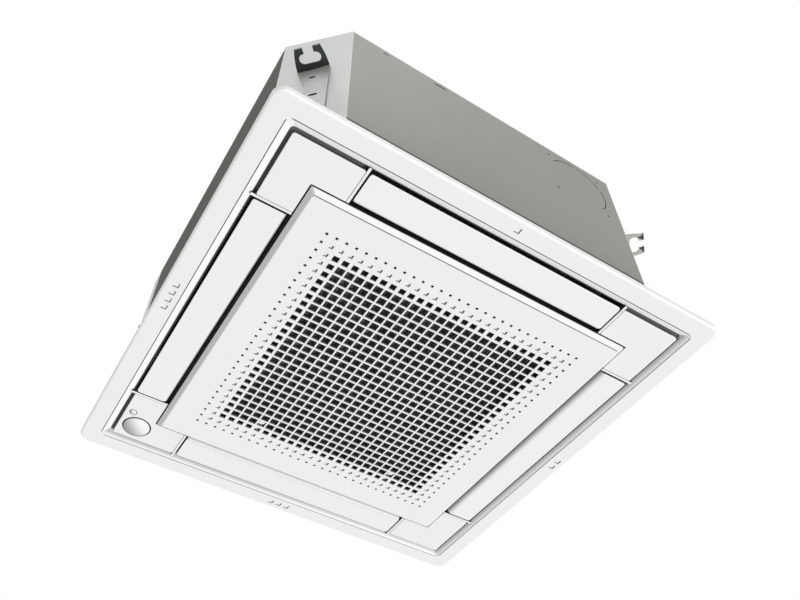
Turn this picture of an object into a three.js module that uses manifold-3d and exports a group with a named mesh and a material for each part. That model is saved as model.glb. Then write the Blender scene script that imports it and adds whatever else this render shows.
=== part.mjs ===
// Ceiling cassette air conditioner: a square panel below the ceiling, a sheet-metal casing above it.
// Millimetres, +Z up. The origin is the middle of the suction grille's face, the lowest level of the part.
// +X runs along the front side from left to right, and -Y is the front, the side of the grille's hinge.

import * as THREE from 'three';
import { mergeVertices } from 'three/addons/utils/BufferGeometryUtils.js';
import Module from 'manifold-3d';

const wasm = await Module();
wasm.setup();

// ---------------------------------------------------------------- driving dimensions

// Fits shared by all pieces
const seatGap = 0.3;             // between two pieces that sit against each other
const runGap = 0.4;              // radial play of a pin in its bore

// Facets of round forms
const wideSides = 16;
const sides = 8;
const pinSides = 6;
const cornerSteps = 3;

// Casing of sheet metal
const casingInset = 22.5;        // of the casing's side walls from the panel's edge
const casingHeight = 260;
const sheet = 1.2;
const cornerLeg = 66.5;          // of each cut-off corner, along the side walls
const sideFlange = 28;           // the left wall runs on past its rear corner by this
const ductCircle = 100;          // knock-out for a fresh-air duct, on the front wall
const ductX = 152;
const ductDrop = 63;             // of the circle's middle below the casing's top
const ductHolePitch = 90;
const ductHoleRadius = 1.7;
const ductBridge = 0.08;         // half angle of the three bridges that hold the knock-out, in radians
const slitWidth = 1.2;
const edgeCutDrop = 12;          // two cuts near the front wall's upper edge
const edgeCutHeight = 3;
const wideCutX = -82;
const wideCutWidth = 20;
const narrowCutX = -170;
const narrowCutWidth = 9;
const topDishRadius = 80;        // dish in the top plate that carries the motor
const topDishDepth = 4;

// Hanger brackets
const rodInset = 21;             // of the suspension rods from the casing's side walls
const lugDrop = 101;             // lower face of the lug below the casing's top
const lugThickness = 2;
const lugWidth = 42;
const lugReach = 14;             // from the rod's centre to the lug's tips
const lugTipWidth = 33;
const rodSlotLength = 28;
const rodSlotWidth = 13;
const lugTab = 5;                // height of the turned-up tips
const plateTail = 110;           // length of the bracket's plate below the lug
const plateShoulder = 42;        // height of the plate's sloping shoulder
const plateNarrow = 0.4;         // half width of the plate's tail on its slim side, as a share
const highSlitDrop = 24;         // lower edges of two slits in the plate, below the lug
const highSlitLength = 7;
const highSlitHeight = 3;
const lowSlitDrop = 74;
const lowSlitLength = 10;
const lowSlitHeight = 4;
const lowSlitAside = 4;          // of the lower slit's middle from the plate's middle

// Decoration panel
const panelSize = 620;
const panelHeight = 46;          // from the panel's face to the casing's lower edge
const panelCorner = 14;
const panelWall = 2.5;
const rimHeight = 9;
const rimWall = 2;
const borderWidth = 25.2;        // flat border between the outer edge and the groove line
const grooveWidth = 0.8;
const grooveDepth = 0.7;
const slopeWidth = 8.4;
const slopeDepth = 4.5;
const recessGap = 4.6;           // open gap between the recess wall and the flaps and covers
const sealHeight = 4;
const markSize = 5.4;            // square marks that number the four outlets
const markPitch = 13;
const markInset = 13;            // of the marks' centres from the panel's edge
const markDepth = 0.6;

// Flaps
const flapWidth = 42.2;
const flapThickness = 3;
const flapRoll = 5;              // radius of the blade's rolled inner edge
const flapWall = 2.1;            // thickness of the rolled edge
const flapBelly = 1.6;
const flapTip = 0.5;
const flapEndGap = 1.5;
const ribThickness = 3.2;        // of the panel's ribs that carry the flap pins
const ribRise = 8;               // of the ribs above the flap's axis
const flapAxisRise = 7;          // of the flap's axis above the panel's face
const flapAxisInset = 8;         // of the flap's axis from the flap's inner edge
const flapPinRadius = 2.5;
const flapMotorRadius = 10.8;
const flapMotorLength = 14;
const flapMotorOffset = 8;       // of the motor's body above its shaft
const flapBoss = 3;
const flapBossRadius = 4;
const flapEarInset = 2;          // of the ears from the flap's ends
const flapEarWidth = 4;
const flapEarHalf = 4;
const flapEarRadius = 4.2;

// Suction grille
const grilleDrop = 5;            // how far the grille's face stands below the panel's face
const grilleSideInset = 5.8;     // the sides lean in by this over the drop
const grilleWall = 2.5;
const grilleHeight = 14;
const grilleGap = 4.3;           // between the grille and the flaps
const cellPitch = 13;
const cellCount = 23;            // cells along each side of the lattice
const barWidth = 2.2;
const frontBarDepth = 2.2;
const backBarDepth = 2.3;
const barSeat = 1;               // how far the bars run into the frame around the lattice
const filterRise = 7.6;          // of the air filter above the grille's face
const filterInset = 33.3;        // of the filter's edge from the grille's edge
const filterFrame = 8;
const filterHeight = 5;
const filterMesh = 0.8;
const filterRib = 2.4;
const seatLength = 120;          // of the ledges that carry the filter
const seatReach = 5;
const seatWall = 2;
const seatStop = 4;
const hingeInset = 9;            // of the grille's hinge axis from its front edge
const hingeRise = 10;
const hingePinRadius = 2.2;
const hookWidth = 6;             // of the panel's hooks that hold the hinge pins
const earWidth = 4;              // of the grille's ears on the hinge pins
const earHalf = 3.6;
const pinSpare = 1;              // of a hinge pin beyond its hook and its ear
const hookHalf = 3.2;            // of the hook around the pin
const hookReach = 9;             // of the hook behind the hinge axis
const hookNeck = 4.4;            // from the hinge axis to the hook's neck, which rises to the ledge
const swingSpare = 4;            // of the carrier behind the hinge axis, clear of the swinging grille
const hingeAside = 75.3;         // of the hinges from the grille's sides
const latchColumn = 8;           // the latches' tabs sit in the cells this far from the middle
const latchRest = 5;             // of the drawn bolt's end beyond the ledge
const latchBack = 0.5;           // from the drawn bolt's end to its catch
const catchThickness = 3;
const catchFoot = 2;             // of the catch below its window
const latchWidth = 8;
const latchThickness = 2.5;
const latchTabReach = 10;        // of the tab from the cell's far side
const latchTabThickness = 4;
const latchTabRise = 1;          // of the tab's end above the grille's face

// Corner covers and the sensor
const coverSize = 88;            // along the panel's edges
const coverThickness = 2.5;
const coverGap = 0.6;            // between a cover and the panel's ribs
const coverGrilleGap = 1.8;      // between a cover and the grille, which swings past it
const coverSkirtInset = 6;
const coverSkirtHeight = 2;
const coverSkirtWall = 1.6;
const motorRoomWidth = 40;       // what the skirt leaves open for a flap motor
const motorRoomLength = 20;
const sensorInsetX = 24.8;       // of the sensor's middle from the cover's outer edges
const sensorInsetY = 26.3;
const sensorRadius = 19;
const sensorBulge = 3;
const sensorGap = 0.9;
const receiverInsetX = 10.3;
const receiverInsetY = 52.3;
const receiverRadius = 5;
const receiverGap = 0.45;
const receiverBulge = 0.8;

// Panel core, the dark carrier inside the panel
const coreRise = 8;              // of its corner plates above the panel's face
const coreThickness = 2.5;
const partitionWall = 7;
const partitionSpare = 1.2;      // of the partition's outer side beyond the grille's edge
const ledgeRise = 16;            // of the inner ledge above the panel's face
const ledgeWidth = 13;

// Screws that hold the panel
const screwInsetX = 66.8;        // of the screws from the covers' outer edges
const screwInsetY = 9.8;
const screwRadius = 2.5;
const screwHeadRadius = 5;
const screwHeadHeight = 2.6;
const screwSeat = 0.2;           // between the head and the carrier
const screwRoomGap = 1.4;        // around the head, inside the cover's skirt
const screwDepth = 12;

// Insulation and drain pan
const linerWall = 12;
const linerSlab = 8;
const panHeight = 44;
const gutterDepth = 20;
const gutterSpare = 4;
const sumpSpare = 11;            // of the pump's sump beyond the float's middle
const outletInset = 0.8;         // of the outlet's outer side from the flap's outer edge
const outletLip = 2.4;           // of its inner side from the flap's inner edge
const outletEndInset = 2.5;      // of its ends from the flap's ends
const panSpare = 4;              // between the bell mouth's flare and the pan's hole

// Bell mouth
const throatRadius = 112;
const throatTop = 89;            // above the casing's lower edge
const bellRise = 50;
const bellWall = 2.5;
const bellFlange = 20;
const bellSpare = 4.3;           // between the bell mouth's flange and the control box

// Fan
const fanRadius = 150;
const fanWall = 2.5;
const fanInletGap = 3;           // between the bell mouth's throat and the fan's inlet ring
const fanInletRise = 83;         // lower edge of the inlet ring above the casing's lower edge
const fanInletHeight = 16;
const fanShroudRise = 22;
const fanBackDrop = 24;          // upper face of the back disc below the casing's top
const bladeCount = 9;
const bladeInnerRadius = 88;
const bladeThickness = 2.4;
const bladeSweep = 50;           // degrees that a blade trails behind its root
const bladeRoot = 2;             // how far the blades start below the shroud's curve
const bladeRimGap = 0.5;         // of the blades' ends inside the rim
const hubBowlRadius = 78;
const bowlFoot = 14;             // of the bowl's floor inside its radius
const bowlKnee = 3;
const bowlKneeRise = 9;
const bowlMouth = 2;
const bowlWall = 3;
const hubBossRadius = 20;
const hubBossHeight = 8;
const motorClearance = 4;        // between the bowl's floor and the motor
const shaftRadius = 6;
const nutHeight = 6;
const shaftSpare = 4;            // of the shaft beyond the nut

// Motor
const motorRadius = 62;
const motorHeight = 47;
const motorFlangeRadius = 70;
const motorFlange = 2.8;
const motorBossRadius = 22;
const motorBoss = 3;
const motorShoulder = 6;
const motorShoulderRise = 14;
const mountRadius = 8;
const mountHeight = 6;
const mountCircle = 58;
const mountWaist = 0.35;         // height of each of its flanges, as a share
const mountWaistRadius = 0.7;

// Heat exchanger and pipes
const coilInset = 73.5;          // of the ring's outer side from the casing's wall
const coilThickness = 38;
const coilCorner = 26;
const coilInnerCorner = 6;
const coilOpening = 79;          // missing stretch of the ring at its rear right corner
const gasPipeRadius = 6.35;
const liquidPipeRadius = 3.2;
const headerFactor = 1.4;        // header radius over pipe radius
const pipeReach = 21;            // of the pipe ends beyond the casing
const gasPipeInset = 66;         // of the pipes from the ring's right side
const liquidPipeInset = 14;
const pipeDrop = 96;             // below the casing's top
const headerInset = 21;          // of the headers from the ring's outer side
const headerSpare = 6;           // above the headers
const gasNutRadius = 10.8;
const liquidNutRadius = 7;
const nutLength = 13;
const nutInset = 3;              // of the nuts from the pipes' ends
const feederRadius = 2.6;
const feederShares = [0.35, 0.75];
const pipePlateWidth = 92;
const pipePlateHeight = 86;

// Drain pump and float switch
const pumpInsetX = 36;           // of the pump from the ring's outer sides
const pumpInsetY = 51;
const pumpRadius = 25;
const pumpHeight = 80;
const pumpSides = 12;
const pumpClearance = 5;         // of the pump's foot above the sump
const pumpFootHeight = 20;
const pumpCapHeight = 10;
const strapWidth = 12;
const hoseRadius = 9.5;
const hoseAside = 4;             // of the hose from the pump's middle
const hoseDrop = 62;
const socketRadius = 13;
const socketWall = 2;
const floatAsideX = 34;          // of the float from the pump's middle
const floatAsideY = 17;
const floatRadius = 6.5;
const floatHeight = 9;
const floatTravel = 10;
const floatClearance = 8;        // of the resting float above the sump
const floatSpare = 4;            // between the lifted float and the switch head
const stemRadius = 2;
const stemFoot = 2.5;
const switchSize = 10;
const switchHeight = 12;
const armHalf = 2;
const armRise = 2;

// Control box
const controlLength = 300;
const controlWidth = 34;
const controlHeight = 24;
const controlCover = 2;
const controlWall = 2;
const controlRim = 1.5;
const controlInset = 4;          // of the box from the panel's partition

// ---------------------------------------------------------------- values that follow

const panelHalf = panelSize / 2;
const casingHalf = panelHalf - casingInset;
const grooveHalf = panelHalf - borderWidth;
const recessHalf = grooveHalf - slopeWidth;
const flapOuter = recessHalf - recessGap;
const flapInner = flapOuter - flapWidth;
const grilleHalf = flapInner - grilleGap;
const grilleFrontHalf = grilleHalf - grilleSideInset;
const coverNear = flapOuter - coverSize;
const coverInner = grilleHalf + coverGrilleGap;
const ribFar = coverNear - coverGap;
const ribNear = ribFar - ribThickness;
const flapHalfLength = ribNear - flapEndGap;
const filterHalf = grilleHalf - filterInset;
const hingeX = grilleHalf - hingeAside;
const sensorX = -(flapOuter - sensorInsetX);
const sensorY = flapOuter - sensorInsetY;
const receiverX = -(flapOuter - receiverInsetX);
const receiverY = flapOuter - receiverInsetY;
const screwX = flapOuter - screwInsetX;
const screwY = flapOuter - screwInsetY;

const zFace = grilleDrop;
const zCase = zFace + panelHeight;
const zSeal = zCase - sealHeight;
const zPan = zCase + panHeight;
const zTop = zCase + casingHeight;
const zSheet = zTop - sheet;
const zSlab = zSheet - linerSlab;
const zCore = zFace + coreRise;
const zLedge = zFace + ledgeRise;
const zLug = zTop - lugDrop;

const coilHalf = casingHalf - coilInset;
const coilInner = coilHalf - coilThickness;
const gasPipeX = coilHalf - gasPipeInset;
const liquidPipeX = coilHalf - liquidPipeInset;
const pumpX = coilHalf - pumpInsetX;
const pumpY = coilHalf - pumpInsetY;
const hoseX = pumpX - hoseAside;
const floatX = pumpX - floatAsideX;
const floatY = pumpY - floatAsideY;
const outletOuter = flapOuter - outletInset;
const outletInner = flapInner + outletLip;
const outletHalfLength = flapHalfLength - outletEndInset;
const partitionInner = grilleHalf - partitionWall;
const bellRim = partitionInner - controlInset - controlWidth - bellSpare;
const bellFlare = bellRim - bellFlange - throatRadius;
const panHoleRadius = throatRadius + bellFlare + panSpare;
const fanInletRadius = throatRadius + bellWall + fanInletGap;
const rodHalf = casingHalf - rodInset;

const flapAxisY = -(flapInner + flapAxisInset);
const flapAxisZ = zFace + flapAxisRise;
const zRib = flapAxisZ + ribRise;
const hingeY = -(grilleHalf - hingeInset);
const hingeZ = hingeRise;

// ---------------------------------------------------------------- shape helpers

const weld = 1e-4;
const full = Math.PI * 2;
const quarter = Math.PI / 2;
const through = 1;               // how far a cutter runs past the face that it cuts

function signedVolume(points, triangles) {
  let sum = 0;
  const corner = (k) => new THREE.Vector3().fromArray(points, triangles[k] * 3);
  for (let k = 0; k < triangles.length; k += 3) {
    sum += corner(k).dot(corner(k + 1).cross(corner(k + 2)));
  }
  return sum;
}

/** Makes a solid of a closed geometry: welds it, drops collapsed faces and points all faces outwards. */
function solid(geometry) {
  geometry.deleteAttribute('normal');
  geometry.deleteAttribute('uv');
  const merged = mergeVertices(geometry, weld);
  const points = Float32Array.from(merged.attributes.position.array);
  const index = merged.index.array;
  const triangles = [];
  for (let k = 0; k < index.length; k += 3) {
    const [a, b, c] = [index[k], index[k + 1], index[k + 2]];
    if (a !== b && b !== c && c !== a) triangles.push(a, b, c);
  }
  if (signedVolume(points, triangles) < 0) triangles.reverse();
  const mesh = new wasm.Mesh({ numProp: 3, vertProperties: points, triVerts: Uint32Array.from(triangles) });
  return new wasm.Manifold(mesh);
}

function join(...solids) {
  return solids.reduce((sum, piece) => sum.add(piece));
}

function box(x0, x1, y0, y1, z0, z1) {
  const geometry = new THREE.BoxGeometry(x1 - x0, y1 - y0, z1 - z0);
  return solid(geometry.translate((x0 + x1) / 2, (y0 + y1) / 2, (z0 + z1) / 2));
}

/** Square block about the Z axis. */
function block(half, z0, z1) {
  return box(-half, half, -half, half, z0, z1);
}

/** Cylinder along Z. */
function round(radius, z0, z1, x = 0, y = 0, count = sides, topRadius = radius) {
  const geometry = new THREE.CylinderGeometry(topRadius, radius, z1 - z0, count);
  return solid(geometry.rotateX(quarter).translate(x, y, (z0 + z1) / 2));
}

/** Cylinder along X. */
function roundX(radius, x0, x1, y, z, count = sides) {
  const geometry = new THREE.CylinderGeometry(radius, radius, x1 - x0, count);
  return solid(geometry.rotateZ(quarter).translate((x0 + x1) / 2, y, z));
}

/** Cylinder along Y. */
function roundY(radius, y0, y1, x, z, count = sides) {
  const geometry = new THREE.CylinderGeometry(radius, radius, y1 - y0, count);
  return solid(geometry.translate(x, (y0 + y1) / 2, z));
}

/** Square frustum about the Z axis, from half width a at z0 to half width b at z1. */
function frustum(a, b, z0, z1) {
  const geometry = new THREE.CylinderGeometry(b * Math.SQRT2, a * Math.SQRT2, z1 - z0, 4);
  return solid(geometry.rotateX(quarter).rotateZ(quarter / 2).translate(0, 0, (z0 + z1) / 2));
}

/** Outline raised from z0 to z1, with straight sides. */
function prism(shape, z0, z1, curveSegments = cornerSteps) {
  const geometry = new THREE.ExtrudeGeometry(shape, { depth: z1 - z0, bevelEnabled: false, curveSegments });
  return solid(geometry.translate(0, 0, z0));
}

function polygon(points) {
  return new THREE.Shape(points.map(([x, y]) => new THREE.Vector2(x, y)));
}

function square(half, radius = 0) {
  if (radius === 0) return polygon([[-half, -half], [half, -half], [half, half], [-half, half]]);
  const shape = new THREE.Shape();
  const middle = half - radius;
  shape.absarc(middle, middle, radius, 0, quarter);
  shape.absarc(-middle, middle, radius, quarter, 2 * quarter);
  shape.absarc(-middle, -middle, radius, 2 * quarter, 3 * quarter);
  shape.absarc(middle, -middle, radius, 3 * quarter, full);
  return shape;
}

/** Casing outline moved inwards by inset: a square with its corners cut off at 45 degrees. */
function octagon(inset) {
  const half = casingHalf - inset;
  const start = half - (cornerLeg - inset * (2 - Math.SQRT2));
  return polygon([
    [-start, -half], [start, -half], [half, -start], [half, start],
    [start, half], [-start, half], [-half, start], [-half, -start],
  ]);
}

/** Ring between two outlines, raised from z0 to z1. */
function ring(outer, inner, z0, z1, curveSegments = cornerSteps) {
  const hole = prism(inner, z0 - through, z1 + through, curveSegments);
  return prism(outer, z0, z1, curveSegments).subtract(hole);
}

/** Profile of radius and height pairs, turned about the Z axis. */
function turned(profile, count = wideSides) {
  const points = profile.map(([radius, z]) => new THREE.Vector2(radius, z));
  return solid(new THREE.LatheGeometry(points, count).rotateX(quarter));
}

/** Turned ring: the profile closes on itself. */
function turnedRing(profile) {
  return turned([...profile, profile[0]]);
}

/** Copies of one cutter at the four sides of the square. */
function fourSides(piece) {
  return join(...[0, 90, 180, 270].map((angle) => piece.rotate([0, 0, angle])));
}

// ---------------------------------------------------------------- casing

function casingWall() {
  let wall = ring(octagon(0), octagon(sheet), zCase, zSheet);
  const flangeStart = casingHalf - cornerLeg - sheet;
  const flangeEnd = casingHalf - cornerLeg + sideFlange;
  wall = wall.add(box(-casingHalf, -casingHalf + sheet, flangeStart, flangeEnd, zCase, zSheet));
  wall = wall.subtract(knockOutSlits()).subtract(pipeHoles(casingHalf - 2 * sheet, casingHalf + through));
  return wall.subtract(edgeCut(wideCutX, wideCutWidth)).subtract(edgeCut(narrowCutX, narrowCutWidth));
}

function edgeCut(x, width) {
  const low = zTop - edgeCutDrop;
  const outside = -casingHalf - through;
  return box(x - width / 2, x + width / 2, outside, -casingHalf + 2 * sheet, low, low + edgeCutHeight);
}

/** Three arc slits around the knock-out, and the four screw holes of a duct collar. */
function knockOutSlits() {
  const outer = ductCircle / 2 + slitWidth / 2;
  const inner = outer - slitWidth;
  const slits = [0, 1, 2].map((k) => {
    const start = (k * full) / 3 + ductBridge;
    const end = ((k + 1) * full) / 3 - ductBridge;
    const shape = new THREE.Shape();
    shape.absarc(0, 0, outer, start, end, false);
    shape.absarc(0, 0, inner, end, start, true);
    return prism(shape, -sheet - through, sheet + through, 5);
  });
  const half = ductHolePitch / 2;
  const holes = [[-half, -half], [half, -half], [half, half], [-half, half]].map(([x, y]) => (
    round(ductHoleRadius, -sheet - through, sheet + through, x, y, pinSides)
  ));
  return join(...slits, ...holes).rotate([90, 0, 0]).translate([ductX, -casingHalf, zTop - ductDrop]);
}

/** Holes for the two pipes and the drain socket, through what stands between y0 and y1. */
function pipeHoles(y0, y1) {
  const z = zTop - pipeDrop;
  return join(
    roundY(gasPipeRadius + runGap, y0, y1, gasPipeX, z),
    roundY(liquidPipeRadius + runGap, y0, y1, liquidPipeX, z),
    roundY(socketRadius + runGap, y0, y1, hoseX, zTop - hoseDrop),
  );
}

function topPlate() {
  const dishFloor = zTop - topDishDepth - sheet;
  return prism(octagon(0), zSheet, zTop)
    .add(round(topDishRadius + sheet, dishFloor, zTop, 0, 0, wideSides))
    .subtract(round(topDishRadius, dishFloor + sheet, zTop + through, 0, 0, wideSides));
}

/** Bracket in its own axes: +X points out of the casing's corner, and the rod's centre is on it. */
function hangerBracket(mirrored) {
  const plane = (2 * casingHalf - cornerLeg) / Math.SQRT2 + seatGap;
  const rod = rodHalf * Math.SQRT2;
  const half = lugWidth / 2;
  const tip = lugTipWidth / 2;
  const end = rod + lugReach;
  const outline = new THREE.Shape();
  outline.moveTo(plane, -half);
  outline.quadraticCurveTo((plane + end) / 2, -half, end, -tip);
  outline.lineTo(end, tip);
  outline.quadraticCurveTo((plane + end) / 2, half, plane, half);
  const lug = prism(outline, zLug, zLug + lugThickness, 3);
  const tabs = box(end - lugThickness, end, -tip, tip, zLug, zLug + lugTab);
  const low = zLug - plateTail;
  const high = zLug + lugThickness;
  const slim = -half * plateNarrow;
  const face = polygon([
    [-half, high], [-half, zLug], [slim, zLug - plateShoulder], [slim, low], [half, low], [half, high],
  ]);
  // The outline lies in the plate's plane: its first axis becomes Y and its second Z.
  const plate = prism(face, 0, lugThickness).rotate([90, 0, 90]).translate([plane, 0, 0]);
  const bracket = join(lug, tabs, plate)
    .subtract(rodSlot(rod, end))
    .subtract(plateSlit(plane, 0, zLug - highSlitDrop, highSlitLength, highSlitHeight))
    .subtract(plateSlit(plane, lowSlitAside, zLug - lowSlitDrop, lowSlitLength, lowSlitHeight));
  return mirrored ? bracket.mirror([0, 1, 0]) : bracket;
}

/** Long slot for the rod, open towards the lug's outer edge. */
function rodSlot(rod, end) {
  const throat = rodSlotWidth / 2;
  const low = zLug - through;
  const high = zLug + lugTab + through;
  const middle = rodSlotLength / 2 - throat;
  return join(
    round(throat, low, high, rod, -middle),
    round(throat, low, high, rod, middle),
    box(rod - throat, rod + throat, -middle, middle, low, high),
    box(rod, end + through, -throat, throat, low, high),
  );
}

function plateSlit(plane, y, z, length, height) {
  return box(plane - through, plane + 2 * lugThickness, y - length / 2, y + length / 2, z, z + height);
}

// ---------------------------------------------------------------- insulation, pan and bell mouth

function foamLiner() {
  return prism(octagon(sheet + seatGap), zPan, zSheet)
    .subtract(prism(octagon(sheet + seatGap + linerWall), zPan - through, zSlab))
    .subtract(round(topDishRadius + sheet + seatGap, zSlab - through, zSheet + through, 0, 0, wideSides))
    .subtract(pipeHoles(casingHalf - sheet - linerWall - through, casingHalf));
}

function outletWindow(z0, z1) {
  return box(-outletHalfLength, outletHalfLength, -outletOuter, -outletInner, z0, z1);
}

/** Hole for a panel screw, as drawn at the front side's left end. */
function screwHole(z0, z1) {
  return round(screwRadius + runGap, z0, z1, -screwX, -screwY, pinSides);
}

/** Foam tray: a gutter under the heat exchanger, a sump, the outlets and the bell mouth's hole. */
function drainPan() {
  const outer = coilHalf + gutterSpare;
  const inner = coilInner - gutterSpare;
  const floor = zPan - gutterDepth;
  const above = zPan + through;
  const below = zCase - through;
  return prism(octagon(sheet + seatGap), zCase, zPan)
    .subtract(round(panHoleRadius, below, above, 0, 0, wideSides))
    .subtract(ring(square(outer), square(inner), floor, above))
    .subtract(box(floatX - sumpSpare, outer, floatY - sumpSpare, outer, floor, above))
    .subtract(fourSides(outletWindow(below, above)))
    .subtract(fourSides(screwHole(below, zCase + screwDepth + 1)));
}

/** Quarter-ellipse flare that runs into a straight throat, with a flange below. */
function bellMouth() {
  const low = zCase - bellWall;
  const steps = 3;
  const inside = [];
  const outside = [];
  for (let k = 0; k <= steps; k += 1) {
    const angle = (k / steps) * quarter;
    const radius = throatRadius + bellFlare * (1 - Math.cos(angle));
    const z = low + bellRise * (1 - Math.sin(angle));
    inside.push([radius, z]);
    outside.push([radius + bellWall * Math.cos(angle), z + bellWall * Math.sin(angle)]);
  }
  const top = zCase + throatTop;
  const profile = [
    [throatRadius, top], ...inside, [bellRim, low], [bellRim, zCase],
    ...outside.reverse(), [throatRadius + bellWall, top],
  ];
  return turnedRing(profile);
}

// ---------------------------------------------------------------- fan and motor

const zFanLow = zCase + fanInletRise;
const zFanBack = zTop - fanBackDrop;
const zMotorTop = zTop - topDishDepth - sheet - mountHeight;
const zMotorLow = zMotorTop - motorHeight - motorFlange;
const zHub = zMotorLow - motorClearance;
const zNut = zHub - hubBossHeight - seatGap;

/** Curve of the fan's shroud, from the inlet ring outwards and up to the rim, moved by offset. */
function shroudCurve(offset) {
  const steps = 3;
  const curve = [];
  for (let k = 0; k <= steps; k += 1) {
    const angle = (k / steps) * quarter;
    const radius = fanInletRadius + (fanRadius - fanInletRadius) * (1 - Math.cos(angle));
    const z = zFanLow + fanInletHeight + fanShroudRise * Math.sin(angle);
    curve.push([radius + offset * Math.cos(angle), z - offset * Math.sin(angle)]);
  }
  return curve;
}

/** One blade: a strip that sweeps back evenly as its radius grows. */
function fanBlade() {
  const steps = 3;
  const front = [];
  const back = [];
  for (let k = 0; k <= steps; k += 1) {
    const share = k / steps;
    const radius = bladeInnerRadius + (fanRadius - bladeRimGap - bladeInnerRadius) * share;
    const angle = -THREE.MathUtils.degToRad(bladeSweep) * share;
    const half = bladeThickness / 2 / radius;
    front.push([radius * Math.cos(angle + half), radius * Math.sin(angle + half)]);
    back.push([radius * Math.cos(angle - half), radius * Math.sin(angle - half)]);
  }
  const low = zFanLow + fanInletHeight - bladeRoot;
  return prism(polygon([...front, ...back.reverse()]), low, zFanBack - fanWall / 2);
}

/** Back disc with the bowl that takes the motor. */
function fanBack() {
  const low = zFanBack - fanWall;
  const bossLow = zHub - hubBossHeight;
  const foot = hubBowlRadius - bowlFoot;
  const knee = hubBowlRadius - bowlKnee;
  const mouth = hubBowlRadius + bowlMouth;
  return turned([
    [0, bossLow], [hubBossRadius, bossLow], [hubBossRadius, zHub - fanWall],
    [foot, zHub - fanWall], [knee, zHub + bowlKneeRise], [mouth, low],
    [fanRadius, low], [fanRadius, zFanBack], [mouth - bowlWall, zFanBack],
    [knee - bowlWall, zHub + bowlKneeRise + 1], [foot - 1, zHub], [0, zHub],
  ]);
}

/** Turbo fan: inlet shroud, backward-swept blades and back disc. It draws air in from below. */
function fanWheel() {
  const rim = [fanInletRadius, zFanLow];
  const rimOuter = [fanInletRadius + fanWall, zFanLow];
  const shroud = turnedRing([rim, ...shroudCurve(0), ...shroudCurve(fanWall).reverse(), rimOuter]);
  // The blades keep to the space above the shroud and outside the hub's bowl.
  const envelope = turned([
    [0, zFanLow], ...shroudCurve(fanWall / 2), [fanRadius, zFanBack - 1], [0, zFanBack - 1],
  ]);
  const blade = fanBlade().intersect(envelope);
  const blades = Array.from({ length: bladeCount }, (_, k) => blade.rotate([0, 0, (k * 360) / bladeCount]));
  const bore = round(shaftRadius + seatGap, zHub - hubBossHeight - through, zHub + through);
  return join(fanBack(), shroud, ...blades).subtract(bore);
}

function motorShaft() {
  return round(shaftRadius, zNut - nutHeight - shaftSpare, zMotorLow - seatGap);
}

function fanNut() {
  return round(shaftRadius * 2, zNut - nutHeight, zNut, 0, 0, pinSides)
    .subtract(round(shaftRadius + seatGap, zNut - nutHeight - through, zNut + through));
}

function fanMotor() {
  const top = zMotorTop - motorFlange;
  return turned([
    [0, zMotorLow], [motorBossRadius, zMotorLow], [motorBossRadius + motorBoss, zMotorLow + motorBoss],
    [motorRadius - motorShoulder, zMotorLow + motorShoulder], [motorRadius, zMotorLow + motorShoulderRise],
    [motorRadius, top], [motorFlangeRadius, top], [motorFlangeRadius, zMotorTop], [0, zMotorTop],
  ]);
}

function motorMount(k) {
  const angle = (k * full) / 3;
  const x = mountCircle * Math.cos(angle);
  const y = mountCircle * Math.sin(angle);
  const low = zMotorTop;
  const high = zMotorTop + mountHeight;
  const waist = mountHeight * mountWaist;
  const slim = mountRadius * mountWaistRadius;
  return turned([
    [0, low], [mountRadius, low], [mountRadius, low + waist], [slim, low + waist],
    [slim, high - waist], [mountRadius, high - waist], [mountRadius, high], [0, high],
  ], pinSides).translate([x, y, 0]);
}

// ---------------------------------------------------------------- heat exchanger, pipes and drain

function heatExchanger() {
  const low = zPan - gutterDepth;
  const edge = coilHalf - coilOpening;
  return ring(square(coilHalf, coilCorner), square(coilInner, coilInnerCorner), low, zSlab - seatGap)
    .subtract(box(edge, coilHalf + through, edge, coilHalf + through, low - through, zSlab + through));
}

/** Pipe from its header out through the rear wall, with a flare nut at its end. */
function pipe(radius, nutRadius, x) {
  const headerY = coilHalf - headerInset;
  const end = casingHalf + pipeReach;
  return join(
    round(radius * headerFactor, zPan, zSlab - headerSpare, x, headerY),
    roundY(radius, headerY, end, x, zTop - pipeDrop),
    roundY(nutRadius, end - nutInset - nutLength, end - nutInset, x, zTop - pipeDrop, pinSides),
  );
}

/** Short tubes from the gas header to the end of the ring, at the given shares of the ring's height. */
function feeders() {
  const start = coilHalf - coilOpening + seatGap;
  return join(...feederShares.map((share) => (
    roundX(feederRadius, start, gasPipeX, coilHalf - headerInset, zPan + share * (zSlab - zPan), pinSides)
  )));
}

function pipePlate() {
  const x = (gasPipeX + liquidPipeX) / 2;
  const z = zTop - (pipeDrop + hoseDrop) / 2;
  const plate = box(
    x - pipePlateWidth / 2, x + pipePlateWidth / 2, casingHalf, casingHalf + sheet,
    z - pipePlateHeight / 2, z + pipePlateHeight / 2,
  );
  return plate.subtract(pipeHoles(casingHalf - through, casingHalf + sheet + through));
}

/** Suction foot, motor can and cap, hung from the casing's top by a strap. */
function drainPump() {
  const foot = zPan - gutterDepth + pumpClearance;
  const can = foot + pumpFootHeight;
  const cap = foot + pumpHeight;
  const capTop = cap + pumpCapHeight;
  return join(
    round(pumpRadius * 0.5, foot, can, pumpX, pumpY, sides, pumpRadius * 0.7),
    round(pumpRadius, can, cap, pumpX, pumpY, pumpSides),
    round(pumpRadius * 0.6, cap, capTop, pumpX, pumpY),
    box(pumpX - strapWidth / 2, pumpX + strapWidth / 2, pumpY - 2, pumpY + 2, cap, zSlab - seatGap),
  );
}

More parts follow.
